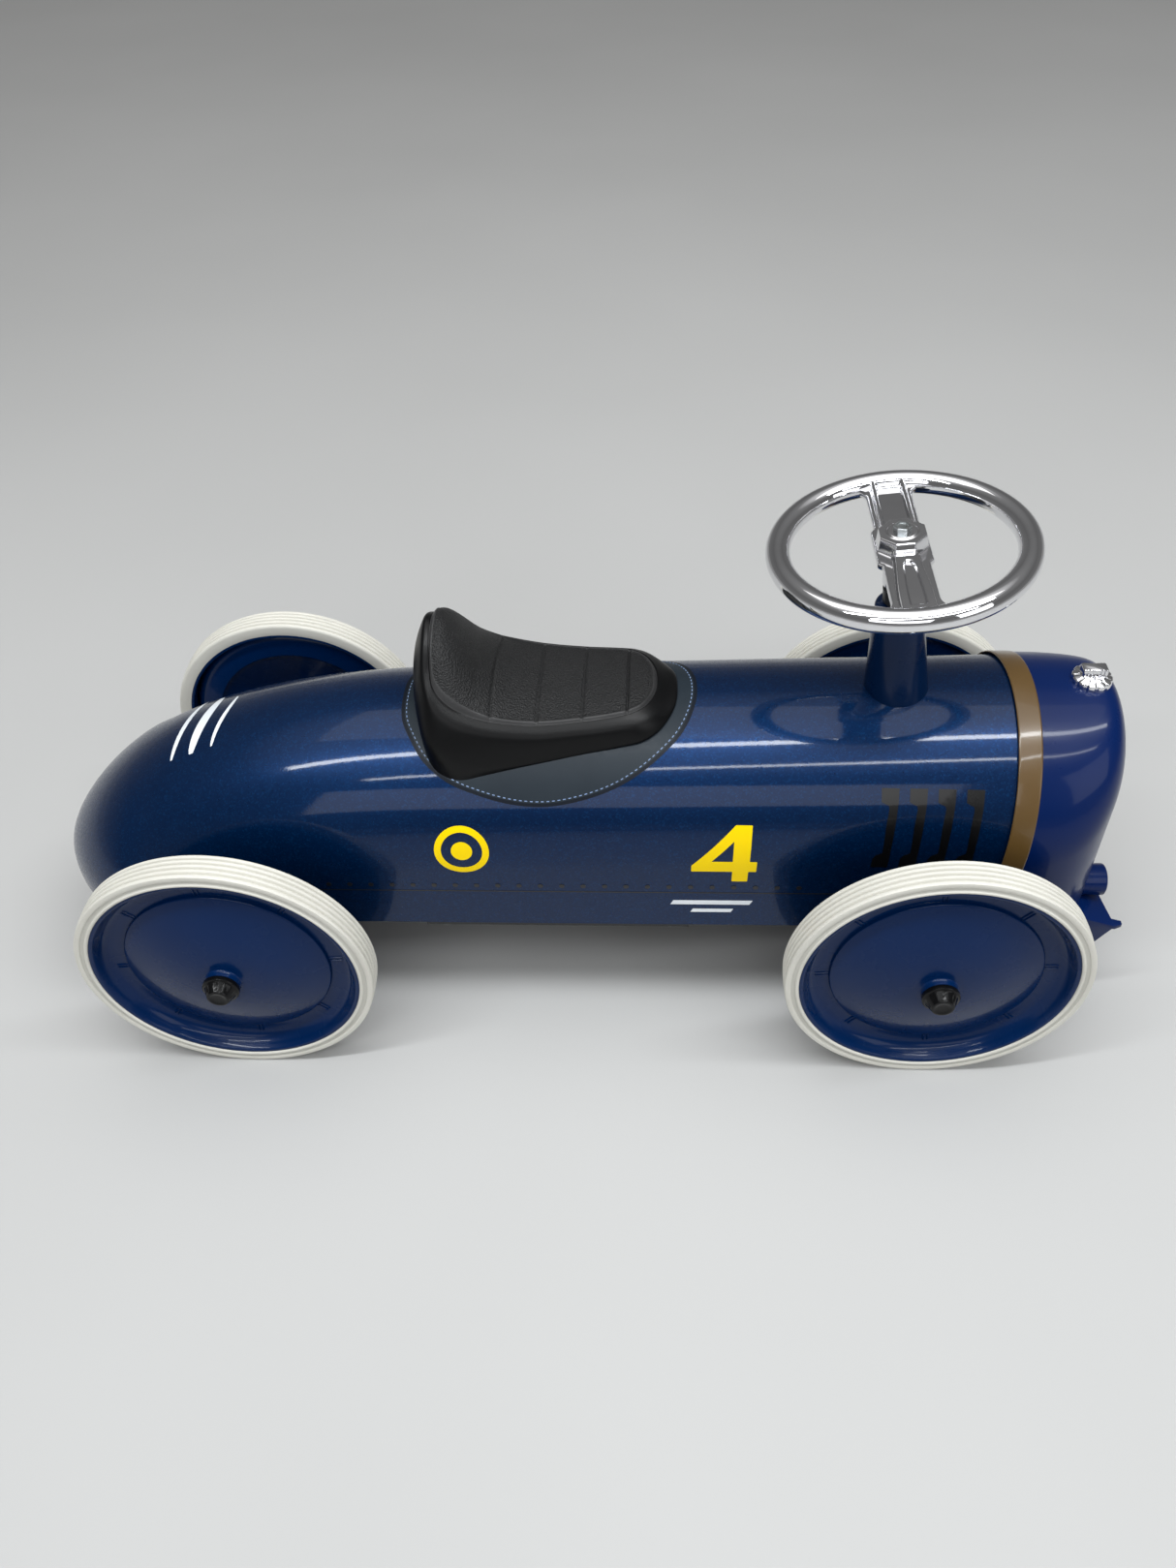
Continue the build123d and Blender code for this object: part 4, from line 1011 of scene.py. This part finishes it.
def spoke():
    """Cast spoke: outline half width and top height over (u forward, v to the left)."""
    def half_w(v):
        a = abs(v)
        w = 14.2
        w += 2.6 * (1 - sstep(a, 16.5, 20.5))                     # hub shoulders
        fl = max(a - 56.0, 0.0)
        w += 0.045 * fl ** 2 if fl < 11 else 0.045 * 121 + (fl - 11) * 0.9      # flare into the ring
        return w

    def height(u, v):
        a = abs(u)
        h = 2.0
        # hub: octagon block
        oc = max(a, abs(v), (a + abs(v)) * 0.7071 * 1.02)
        hub_h = 9.0 * (1 - sstep(oc, 13.6, 15.4)) + 0.0
        top = 1.0 * (1 - sstep(math.hypot(u, v), 8.4, 10.2))
        if v > 0:       # far half: two ribs round a sunk panel
            rib = 3.4 * math.exp(-((a - 9.2) / 1.7) ** 4) * sstep(v, 12, 17) * (1 - 0.0 * sstep(v, 60, 66))
            cross = 2.6 * math.exp(-((v - 62.5) / 1.7) ** 4) * (1 - sstep(a, 9.0, 10.6))
            pan = -0.5 * (1 - sstep(a, 6.9, 7.9)) * sstep(v, 15, 18) * (1 - sstep(v, 59.5, 61.5))
            body = max(rib, cross) + pan
        else:           # near half: solid spine with an arched recess
            t = sstep(-v, 14, 60)
            hw = 6.6 + 2.6 * t
            sp = 4.6 * (1 - sstep(a, hw, hw + 1.7)) * sstep(-v, 10, 15)
            arch_hw = 3.0 + 1.7 * t
            vv = -v - 29.0
            inside = (a / arch_hw) ** 2 + (min(vv, 0) / 5.0) ** 2
            rec = -2.1 * (1 - sstep(math.sqrt(inside), 0.82, 1.12)) * (1 - sstep(-v, 66, 68))
            rimline = 0.0
            body = sp + rec + rimline
        edge = half_w(v) - a
        roll = -1.9 * (1 - min(edge / 1.4, 1.0)) ** 2 if edge < 1.4 else 0.0
        return max(h + body, hub_h + (h if hub_h > 0.5 else 0) * 0 + 0.0, h + body * 0.0 + hub_h) + top + roll

    us = [-1, -0.985, -0.96] + [-0.93 + 1.86 * i / 96 for i in range(97)] + [0.96, 0.985, 1]
    vs = [-72.0 + 144.0 * i / 300 for i in range(301)]
    nu, nv = len(us), len(vs)
    verts, faces = [], []
    for v in vs:
        w = half_w(v)
        for s in us:
            u = s * w
            verts.append(COL_O + (-BXV) * u + YV * v + AX * height(u, v))
    for v in vs:
        w = half_w(v)
        for s in us:
            u = s * w
            e = max(abs(u) - (w - 1.2), 0.0)
            verts.append(COL_O + (-BXV) * u + YV * v + AX * (-3.0 + 1.1 * (e / 1.2) ** 2))
    N0 = nu * nv
    for j in range(nv - 1):
        for i in range(nu - 1):
            a = j * nu + i
            faces.append((a, a + 1, a + nu + 1, a + nu))
            faces.append((N0 + a, N0 + a + nu, N0 + a + nu + 1, N0 + a + 1))
    for j in range(nv - 1):
        a, b = j * nu, (j + 1) * nu
        faces.append((a, b, N0 + b, N0 + a))
        a, b = j * nu + nu - 1, (j + 1) * nu + nu - 1
        faces.append((b, a, N0 + a, N0 + b))
    for i in range(nu - 1):
        faces.append((i, N0 + i, N0 + i + 1, i + 1))
        a = (nv - 1) * nu + i
        faces.append((a, a + 1, N0 + a + 1, N0 + a))
    ob = new_mesh("steering_spoke", verts, faces, CHROME)
    recalc(ob)
    ob.data.shade_smooth()
    ob.data.set_sharp_from_angle(angle=math.radians(60))
    return ob


wheel_ring = ring()
ride(wheel_ring, "steering", "steering_wheel")
ride(spoke(), "steering")
boss = lathe("steering_boss", round_poly([(11.0, -26.0), (11.0, -9.5), (14.2, -6.0), (15.5, -2.0), (15.5, 0.0), (5.0, 0.0), (5.0, -26.0)],
                                         [0.8, 1.5, 1.5, 1, 0.3, 0.3, 0.5], 5), COL_O, AX, BXV, 96, CHROME)
ride(boss, "steering")

bolt = lathe("steering_bolt_flange", [(0.0, 9.9), (6.5, 9.9), (6.7, 10.2), (6.6, 10.7), (6.0, 11.1), (5.4, 11.3), (5.2, 11.3), (0.0, 11.3)], COL_O, AX, BXV, 72,
             ZINC, closed=False, angle=30)
ride(bolt, "steering")
hexa = []
for k in range(6):
    a = math.radians(60 * k + 12)
    hexa.append((5.55 * math.cos(a), 5.55 * math.sin(a)))
hexa = round_poly(hexa, 0.5, 3)
vs_, fs_ = [], []
lev = [(1.0, 11.0), (1.0, 14.2), (0.965, 14.8), (0.88, 15.2), (0.62, 15.2), (0.58, 14.7), (0.3, 14.6)]
for k_, z_ in lev:
    for (p, q) in hexa:
        vs_.append(COL_O + AX * z_ + BXV * p * k_ + YV * q * k_)
nh = len(hexa)
for a in range(len(lev) - 1):
    for i in range(nh):
        j = (i + 1) % nh
        fs_.append((a * nh + i, a * nh + j, (a + 1) * nh + j, (a + 1) * nh + i))
fs_.append(tuple(range(nh)))
fs_.append(tuple(range((len(lev) - 1) * nh, len(lev) * nh)))
hb = new_mesh("steering_bolt_head", vs_, fs_, ZINC)
recalc(hb)
hb.data.set_sharp_from_angle(angle=math.radians(30))
ride(hb, "steering", "wheel_bolt")

# ------------------------------------------------------------------ column cone
cone_prof = [(22.6, -128.0), (21.25, -112.0), (17.4, -66.7), (15.6, -47.0), (15.2, -42.6), (14.6, -41.2), (13.4, -40.4),
             (7.2, -40.4), (7.2, -46.0), (12.0, -46.0), (12.0, -128.0)]
fine = []
for i in range(3):
    (r0, a0), (r1, a1) = cone_prof[i], cone_prof[i + 1]
    for k in range(8):
        fine.append((r0 + (r1 - r0) * k / 8, a0 + (a1 - a0) * k / 8))
cone = lathe("column_cone_skin", fine + cone_prof[3:], COL_O, AX, BXV, 128, CONE_BLUE, angle=50)
ride(cone, "car_body", "column_cone")

# ------------------------------------------------------------------ wheels


def dome(r):
    return 4.2 - 13.7 * (max(r - 14.0, 0.0) / 56.5) ** 1.55


def wheel(tag, x, s):
    o = (x, s * WHEEL_FACE, AXLE_Z)
    ax, ref = (0, s, 0), (1, 0, 0)
    outer_ = [(8.0, 9.0), (11.6, 9.0), (12.0, 8.6), (12.1, 5.4), (12.8, 4.5)]
    outer_ += [(14 + 0.5, dome(14.5))] + [(r, dome(r)) for r in np.linspace(16, 69.6, 40)]
    outer_ += [(70.2, dome(70.0) - 0.12), (70.5, dome(70.5) - 0.45), (70.6, -11.6), (70.9, -12.0)]
    outer_ += [(72.5, -12.05), (76.0, -12.05), (79.4, -12.0), (80.2, -11.8)]
    ctrl = [(80.2, -11.8), (82.2, -11.2), (84.6, -9.4), (86.4, -6.6), (87.6, -3.4), (88.6, -1.2), (89.4, -0.5), (90.4, -0.4)]
    sm = crom(ctrl, np.linspace(0, 7, 36), closed=False)
    outer_ += [tuple(p) for p in sm[1:]]
    outer_ += [(91.3, -0.5), (91.6, -0.9), (91.6, -19.3), (91.2, -19.6), (89.6, -19.6), (89.2, -19.3)]
    inner_ = [(89.2, -6.0), (87.0, -10.6), (84.2, -13.6), (80.6, -14.6), (68.0, -14.6), (68.0, -12.6)]
    inner_ += [(r, dome(r) - 2.6) for r in np.linspace(65, 14, 16)]
    inner_ += [(12.0, 1.2), (12.0, -22.0), (8.0, -22.0)]
    rim = lathe("wheel_disc_" + tag, outer_ + inner_, o, ax, ref, 240, WHEEL_BLUE, angle=38)
    # pressed dividers in the channel
    bm = bmesh.new()
    bm.from_mesh(rim.data)
    for k in range(8):
        ang = math.radians(45 * k + 4.0)
        er = np.array((math.cos(ang), 0, math.sin(ang)))
        et = np.array((-math.sin(ang), 0, math.cos(ang)))
        for d in (-1.35, 1.35):
            prof = []
            for (tt, hh) in ((-0.75, -12.3), (-0.62, -11.55), (-0.28, -11.15), (0.28, -11.15), (0.62, -11.55), (0.75, -12.3)):
                prof.append((tt + d, hh))
            rings_ = []
            for rr, drop in ((70.8, 0.3), (71.4, 0.0), (75.0, 0.0), (79.0, 0.0), (80.2, 0.35)):
                rings_.append([bm.verts.new(Vector(np.array(o) + er * rr + et * p + np.array(ax) * (h - (drop if h > -12 else 0))) / 1000)
                               for p, h in prof])
            for a in range(len(rings_) - 1):
                for b in range(len(prof)):
                    c = (b + 1) % len(prof)
                    bm.faces.new((rings_[a][b], rings_[a][c], rings_[a + 1][c], rings_[a + 1][b]))
            bm.faces.new(rings_[0][::-1])
            bm.faces.new(rings_[-1])
    bmesh.ops.recalc_face_normals(bm, faces=bm.faces)
    bm.to_mesh(rim.data)
    bm.free()
    rim.data.shade_smooth()
    rim.data.set_sharp_from_angle(angle=math.radians(38))
    ride(rim, "wheel_" + tag, "rim_" + tag)
    # tyre
    prof, fmt = [], []
    W = 20.0
    n_rib, g_w, g_d = 5, 1.7, 1.9
    rib_w = (W - 1.2 - (n_rib - 1) * g_w) / n_rib
    pts = [(91.6, -W + 0.3), (93.2, -W), (98.6, -W), (100.4, -W + 0.35)]
    a = -W + 0.6
    for i in range(n_rib):
        c0 = abs(i - (n_rib - 1) / 2)
        top = 101.5 - 0.10 * c0 * c0
        for k in range(9):
            f = k / 8
            e = abs(2 * f - 1)
            pts.append((top - 0.55 * e ** 4, a + rib_w * f))
        if i < n_rib - 1:
            for k in range(1, 7):
                f = k / 7
                pts.append((top - 0.55 - g_d * math.sin(math.pi * f) ** 0.8, a + rib_w + g_w * f))
        a += rib_w + g_w
    n_tread = len(pts)
    pts += [(100.5, -0.18), (99.6, 0.0), (97.4, 0.05), (97.0, -0.15), (96.7, -0.55), (94.9, -0.62), (94.4, -0.5), (94.05, 0.05),
            (93.7, 0.42), (93.1, 0.55), (92.4, 0.45), (91.9, 0.1), (91.6, -0.3)]
    # the groove in the sidewall takes the darker rubber: painted shade in the recess
    fmat = [0] * len(pts)
    for i in range(len(pts)):
        r0 = (pts[i][0] + pts[(i + 1) % len(pts)][0]) / 2
        a0 = (pts[i][1] + pts[(i + 1) % len(pts)][1]) / 2
        if a0 > -0.9 and 94.2 < r0 < 97.2:
            fmat[i] = 1
    tyre = lathe("tyre_ring_" + tag, pts, o, ax, ref, 288, [TYRE, TYRE_GROOVE_PAINTED_SHADE], angle=50, face_mat=fmat)
    ride(tyre, "wheel_" + tag, "tyre_" + tag)
    # hub cap: flanged, eight shallow flutes on the cone
    cp = [(0.0, 19.0), (3.2, 19.05), (5.0, 19.2), (5.6, 19.5), (6.8, 19.5), (7.4, 19.3), (7.9, 18.5)]
    cp += [(7.9 + (10.9 - 7.9) * k / 8, 18.5 + (12.8 - 18.5) * k / 8) for k in range(1, 9)]
    cp += [(11.5, 12.45), (12.2, 12.3), (12.5, 11.9), (12.6, 9.4), (12.4, 9.0), (9.4, 9.0), (9.4, 12.0), (6.2, 12.6), (6.2, 16.8),
           (0.0, 16.8)]
    cap = lathe("hub_cap_shell_" + tag, cp, o, ax, ref, 96, CAP_BLACK, closed=False, angle=32)
    axv, refv = np.array(ax, float), np.array(ref, float)
    third = np.cross(axv, refv)
    ov = np.array(o)
    for v in cap.data.vertices:
        p = np.array(v.co) * 1000 - ov
        aa = p @ axv
        e1, e2 = p @ refv, p @ third
        rr = math.hypot(e1, e2)
        if 12.9 < aa < 18.45 and rr > 7:
            th = math.atan2(e2, e1)
            k = 1 - 0.05 * max(0.0, math.cos(8 * th)) ** 2 * math.sin(math.pi * (aa - 12.9) / 5.6)
            q = ov + axv * aa + (refv * e1 + third * e2) * k
            v.co = Vector(q / 1000)
    ride(cap, "wheel_" + tag, "hub_cap_" + tag)


for tag, x, s in (("front_left", FRONT_X, 1), ("front_right", FRONT_X, -1), ("rear_left", REAR_X, 1), ("rear_right", REAR_X, -1)):
    wheel(tag, x, s)


# ------------------------------------------------------------------ radiator cap
def stack(name, outline, levels, centre, mat, angle=40):
    """Outline points scaled about the centre at each (inset, z) level; closed top and bottom."""
    n = len(outline)
    P = np.array(outline, float)
    rr = np.linalg.norm(P, axis=1)
    verts, faces = [], []
    for ins, z in levels:
        k = np.maximum(rr - ins, 0.05) / rr
        for (px, py), kk in zip(P, k):
            verts.append((centre[0] + px * kk, centre[1] + py * kk, z))
    for a in range(len(levels) - 1):
        for i in range(n):
            j = (i + 1) % n
            faces.append((a * n + i, a * n + j, (a + 1) * n + j, (a + 1) * n + i))
    faces.append(tuple(range(n))[::-1])
    faces.append(tuple(range((len(levels) - 1) * n, len(levels) * n)))
    ob = new_mesh(name, verts, faces, mat)
    recalc(ob)
    ob.data.shade_smooth()
    ob.data.set_sharp_from_angle(angle=math.radians(angle))
    return ob


zc_ = 246.6
disc = []
for k in range(240):
    th = 2 * math.pi * k / 240
    lob = max(0.0, math.cos(12 * th)) ** 1.5
    disc.append(((13.0 - 0.95 * lob) * math.cos(th), (13.0 - 0.95 * lob) * math.sin(th)))
cap1 = stack("radiator_cap_disc", disc, [(0.6, zc_ - 0.6), (0.0, zc_ - 0.1), (0.0, zc_ + 3.7), (0.35, zc_ + 4.5), (1.1, zc_ + 5.0),
                                         (3.2, zc_ + 5.25), (4.4, zc_ + 6.3), (5.2, zc_ + 6.7)], (344.0, 0.0), CHROME)
ride(cap1, "car_body", "radiator_cap")
bar = []
for (cx0, cy0, a0) in ((6.9, 2.9, 0), (-6.9, 2.9, 90), (-6.9, -2.9, 180), (6.9, -2.9, 270)):
    for k in range(7):
        a = math.radians(a0 + 90 * k / 6)
        bar.append((cx0 + 1.3 * math.cos(a), cy0 + 1.3 * math.sin(a)))
bar2 = []
nb = len(bar)
for i in range(nb):
    p, q = np.array(bar[i]), np.array(bar[(i + 1) % nb])
    bar2.append(tuple(p))
    L_ = np.linalg.norm(q - p)
    if L_ > 3:
        m_ = int(L_ / 0.25)
        along = (q - p) / L_
        outn = np.array((along[1], -along[0]))
        for k in range(1, m_):
            t = L_ * k / m_
            flute = 0.28 * max(0.0, math.sin(2 * math.pi * t / 2.3)) ** 0.7 if L_ > 8 else 0.0
            bar2.append(tuple(p + along * t - outn * flute))
cap2 = stack("radiator_cap_bar", bar2, [(0.0, zc_ + 5.0), (0.0, zc_ + 10.9), (0.22, zc_ + 11.6), (0.8, zc_ + 12.0)], (344.0, 0.0), CHROME)
ride(cap2, "car_body")
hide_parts("radiator_cap")

# ------------------------------------------------------------------ grille: flat plate and slats
gr = []
plate = rrect(GW + 4.5, GZ0 - 4.5, GZ1 + 4.5, 24, 14)
g1 = prism_x("grille_plate", plate, 358.2, 359.2)
g1.data.materials.append(DARK_GAP)
ride(g1, "car_body", "grille")
verts, faces = [], []


def slat(zc1, half, x0, x1, hz):
    base = len(verts)
    prof = [(x0, -hz), (x0, hz), (x1 - 0.7, hz * 0.9), (x1 - 0.15, hz * 0.55), (x1, 0), (x1 - 0.15, -hz * 0.55), (x1 - 0.7, -hz * 0.9)]
    n = len(prof)
    ys = [-half, -half + 0.8] + [(-half + 0.8) + (2 * half - 1.6) * i / 18 for i in range(1, 18)] + [half - 0.8, half]
    for j, y in enumerate(ys):
        e = 0.6 if j in (0, len(ys) - 1) else 1.0
        for px, pz in prof:
            verts.append((x0 + (px - x0) * e, y, zc1 + pz * e))
    for j in range(len(ys) - 1):
        for i in range(n):
            k = (i + 1) % n
            a = base + j * n
            faces.append((a + i, a + k, a + n + k, a + n + i))
    faces.append(tuple(base + i for i in range(n))[::-1])
    faces.append(tuple(base + (len(ys) - 1) * n + i for i in range(n)))


for i in range(13):
    z = GZ0 + 4.4 + i * 6.3
    dz = max(0.0, 20 - (z - GZ0), 20 - (GZ1 - z))
    half = GW - 20 + math.sqrt(max(400 - dz * dz, 1.0)) + 1.2
    slat(z, half, 358.8, 362.2, 1.5)
g2 = new_mesh("grille_slats", verts, faces, GRILLE_M)
recalc(g2)
g2.data.set_sharp_from_angle(angle=math.radians(35))
ride(g2, "car_body", "grille")
# rolled bezel round the opening
bz = rrect(GW, GZ0, GZ1, 20.0, 16)
verts, faces = [], []
m = 14
for i, (y, z) in enumerate(bz):
    a = np.array(bz[i - 1])
    b = np.array(bz[(i + 1) % len(bz)])
    t = (b - a) / np.linalg.norm(b - a)
    nn = np.array((t[1], -t[0]))
    xb = 370.3
    # surface x of the cowl at this y, z
    lo_, hi_ = 330.0, 370.2
    for _ in range(26):
        mid_ = (lo_ + hi_) / 2
        w_, t_, r_, zc__ = form(mid_, w_cowl, t_cowl)
        inside = abs(y) < w_ and (z < zc__ or (abs(y) / w_) ** 2 + ((z - zc__) / r_) ** 2 < 1)
        lo_, hi_ = (mid_, hi_) if inside else (lo_, mid_)
    xb = lo_
    for k in range(m):
        ph = 2 * math.pi * k / m
        off = 1.5 * math.cos(ph)
        verts.append((xb - 0.2 + 1.0 * math.sin(ph), y + nn[0] * off, z + nn[1] * off))
nb = len(bz)
for i in range(nb):
    for k in range(m):
        a, b = i * m + k, ((i + 1) % nb) * m + k
        c, d = ((i + 1) % nb) * m + (k + 1) % m, i * m + (k + 1) % m
        faces.append((a, b, c, d))
g3 = new_mesh("grille_bezel", verts, faces, GRILLE_M)
recalc(g3)
ride(g3, "car_body")


# ------------------------------------------------------------------ rounded copies of simple CAD nodes
def softened(node, name, mat, width=0.0006, seg=3, angle=30):
    """A bevelled copy of a CAD node's own shape, standing for it."""
    src = frame_nodes[node]
    me = src.data.copy()
    ob = bpy.data.objects.new(name, me)
    ob.matrix_world = src.matrix_world.copy()
    scene.collection.objects.link(ob)
    me.transform(src.matrix_world)
    ob.matrix_world = Matrix.Identity(4)
    bm = bmesh.new()
    bm.from_mesh(me)
    bmesh.ops.remove_doubles(bm, verts=bm.verts, dist=1e-6)
    bmesh.ops.dissolve_limit(bm, angle_limit=math.radians(1.0), verts=bm.verts, edges=bm.edges)
    bm.to_mesh(me)
    bm.free()
    me.materials.clear()
    me.materials.append(mat)
    md = ob.modifiers.new("bevel", "BEVEL")
    md.width = width
    md.segments = seg
    md.limit_method = "ANGLE"
    md.angle_limit = math.radians(angle)
    md.harden_normals = False
    bpy.context.view_layer.update()
    apply_mods(ob)
    ob.data.shade_smooth()
    ob.data.set_sharp_from_angle(angle=math.radians(40))
    return ob


frame_nodes = {o["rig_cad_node"] if isinstance(o.get("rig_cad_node"), str) else o.name: o
               for o in bpy.data.objects if "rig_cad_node" in o}
ap = softened("front_apron", "front_apron_casting", COWL_BLUE, 0.0009, 3, 28)
ride(ap, "car_body", "front_apron")
for s, nm in ((-1, "right"), (1, "left")):
    hp = [(11.5, 0.0), (11.5, 118.3), (11.3, 118.9), (10.8, 119.4), (10.0, 119.8), (9.4, 119.8), (8.6, 119.2), (0.0, 119.0), (0.0, 116.6),
          (9.9, 116.6), (9.9, 0.0)]
    hn = lathe("frame_horn_" + nm, hp, (257.2, s * 45.0, 101.0), (1, 0, 0), (0, 0, 1), 72, COWL_BLUE, closed=False, angle=35)
    bmx = bmesh.new()
    bmx.from_mesh(hn.data)
    bmesh.ops.holes_fill(bmx, edges=[e for e in bmx.edges if e.is_boundary], sides=0)
    bmesh.ops.recalc_face_normals(bmx, faces=bmx.faces)
    bmx.to_mesh(hn.data)
    bmx.free()
    hn.data.shade_smooth()
    hn.data.set_sharp_from_angle(angle=math.radians(35))
    ride(hn, "car_body", "front_horn_" + nm)

# ------------------------------------------------------------------ materials of the nodes kept as they are
KEEP = {
    "radiator_cap_nut": ZINC, "floor_plate": CHASSIS, "floor_screws": ZINC, "upper_column_bush": NYLON, "lower_column_bush": NYLON,
    "cone_screws": ZINC, "column_bracket": CHASSIS, "front_beam": CHASSIS, "beam_bolts": ZINC, "kingpins": ZINC, "kingpin_nuts": ZINC,
    "rear_crossmember": CHASSIS, "rear_axle": ZINC, "axle_block_left": NYLON, "axle_block_right": NYLON, "rear_bolts": ZINC,
    "rear_spacers": NYLON, "rear_push_nuts": ZINC, "seat_screws": ZINC, "cowl_tie_plates": CHASSIS, "cowl_screws": ZINC,
    "apron_screws": ZINC, "steering_column": CHASSIS, "crank_arm": CHASSIS, "crank_clip": ZINC, "column_collar": CHASSIS,
    "tie_rod": CHASSIS, "knuckle_left": CHASSIS, "knuckle_right": CHASSIS, "knuckle_hardware_left": ZINC,
    "knuckle_hardware_right": ZINC, "wheel_bush_front_left": NYLON, "wheel_bush_front_right": NYLON, "wheel_bush_rear_left": NYLON,
    "wheel_bush_rear_right": NYLON}
for nm, mt in KEEP.items():
    ob = frame_nodes.get(nm)
    if ob is None:
        print("no node", nm)
        continue
    if ob.material_slots:
        for sl in ob.material_slots:
            sl.material = mt
    else:
        ob.data.materials.append(mt)
left = [n for n, o in frame_nodes.items() if not o.hide_render and n not in KEEP]
print("CAD nodes without a material of their own:", left)

# ------------------------------------------------------------------ floor, light, camera
FLOOR_M, nt, b = material("studio_floor")
v = coords(nt)
nt.links.new(mixc(nt, maprange(nt, noise(nt, v, 1.2, 3.0), 0.3, 0.7, 0, 1), (0.44, 0.44, 0.435), (0.47, 0.47, 0.465)), b.inputs["Base Color"])
b.inputs["Roughness"].default_value = 0.85
b.inputs["Specular IOR Level"].default_value = 0.15
fl = new_mesh("studio_floor", [(-6000, -6000, 0), (6000, -6000, 0), (6000, 6000, 0), (-6000, 6000, 0)], [(0, 1, 2, 3)], FLOOR_M, False)

w = bpy.data.worlds.new("studio")
scene.world = w
w.use_nodes = True
bg = w.node_tree.nodes["Background"]
wt = w.node_tree
wc = N(wt, "ShaderNodeTexCoord")
ws = N(wt, "ShaderNodeSeparateXYZ")
wt.links.new(wc.outputs["Generated"], ws.inputs[0])
wt.links.new(ramp(wt, ws.outputs[2], [(0.0, 0.30), (0.05, 0.16), (0.45, 0.13), (0.72, 0.22), (0.86, 0.75), (1.0, 1.0)]), bg.inputs["Color"])
bg.inputs["Strength"].default_value = 1.0


def area(name, loc, target, sx, sy, power, color=(1, 1, 1)):
    l = bpy.data.lights.new(name, "AREA")
    l.shape = "RECTANGLE"
    l.size, l.size_y = sx, sy
    l.energy = power
    l.color = color
    o = bpy.data.objects.new(name, l)
    o.location = loc
    o.rotation_euler = (Vector(target) - Vector(loc)).to_track_quat("-Z", "Y").to_euler()
    scene.collection.objects.link(o)
    return o


area("key_top", (0.1, 0.35, 2.6), (0, 0, 0.1), 3.0, 1.4, 14, (1.0, 0.985, 0.96))
area("strip_a", (0.1, -0.52, 2.2), (0, 0, 0.15), 3.4, 0.13, 46, (0.95, 0.98, 1.0))
area("strip_b", (0.3, -1.18, 1.9), (0, 0, 0.15), 2.6, 0.07, 12, (0.95, 0.98, 1.0))
area("fill_front", (1.9, -1.5, 1.2), (0.2, 0, 0.15), 1.2, 1.2, 9, (0.96, 0.98, 1.0))
area("fill_near", (-0.3, -2.6, 1.6), (0, 0, 0.1), 2.4, 1.0, 14, (0.97, 0.98, 1.0))

cam = bpy.data.cameras.new("camera")
camo = bpy.data.objects.new("camera", cam)
scene.collection.objects.link(camo)
yaw, pitch, roll = math.radians(-3.872), math.radians(43.963), math.radians(-2.437)
fwd = Vector((math.sin(yaw) * math.cos(pitch), math.cos(yaw) * math.cos(pitch), -math.sin(pitch)))
right = Vector((math.cos(yaw), -math.sin(yaw), 0))
up = right.cross(fwd)
r2 = right * math.cos(roll) + up * math.sin(roll)
u2 = -right * math.sin(roll) + up * math.cos(roll)
R = Matrix((r2, u2, -fwd)).transposed().to_4x4()
camo.matrix_world = Matrix.Translation((0.05235, -0.6479, 0.77595)) @ R
cam.sensor_width = 36.0
cam.sensor_fit = "AUTO"
cam.lens = 28.455
cam.clip_start = 0.01
cam.clip_end = 50
scene.camera = camo
scene.view_settings.view_transform = "Standard"
scene.view_settings.look = "None"
scene.view_settings.exposure = 0.0
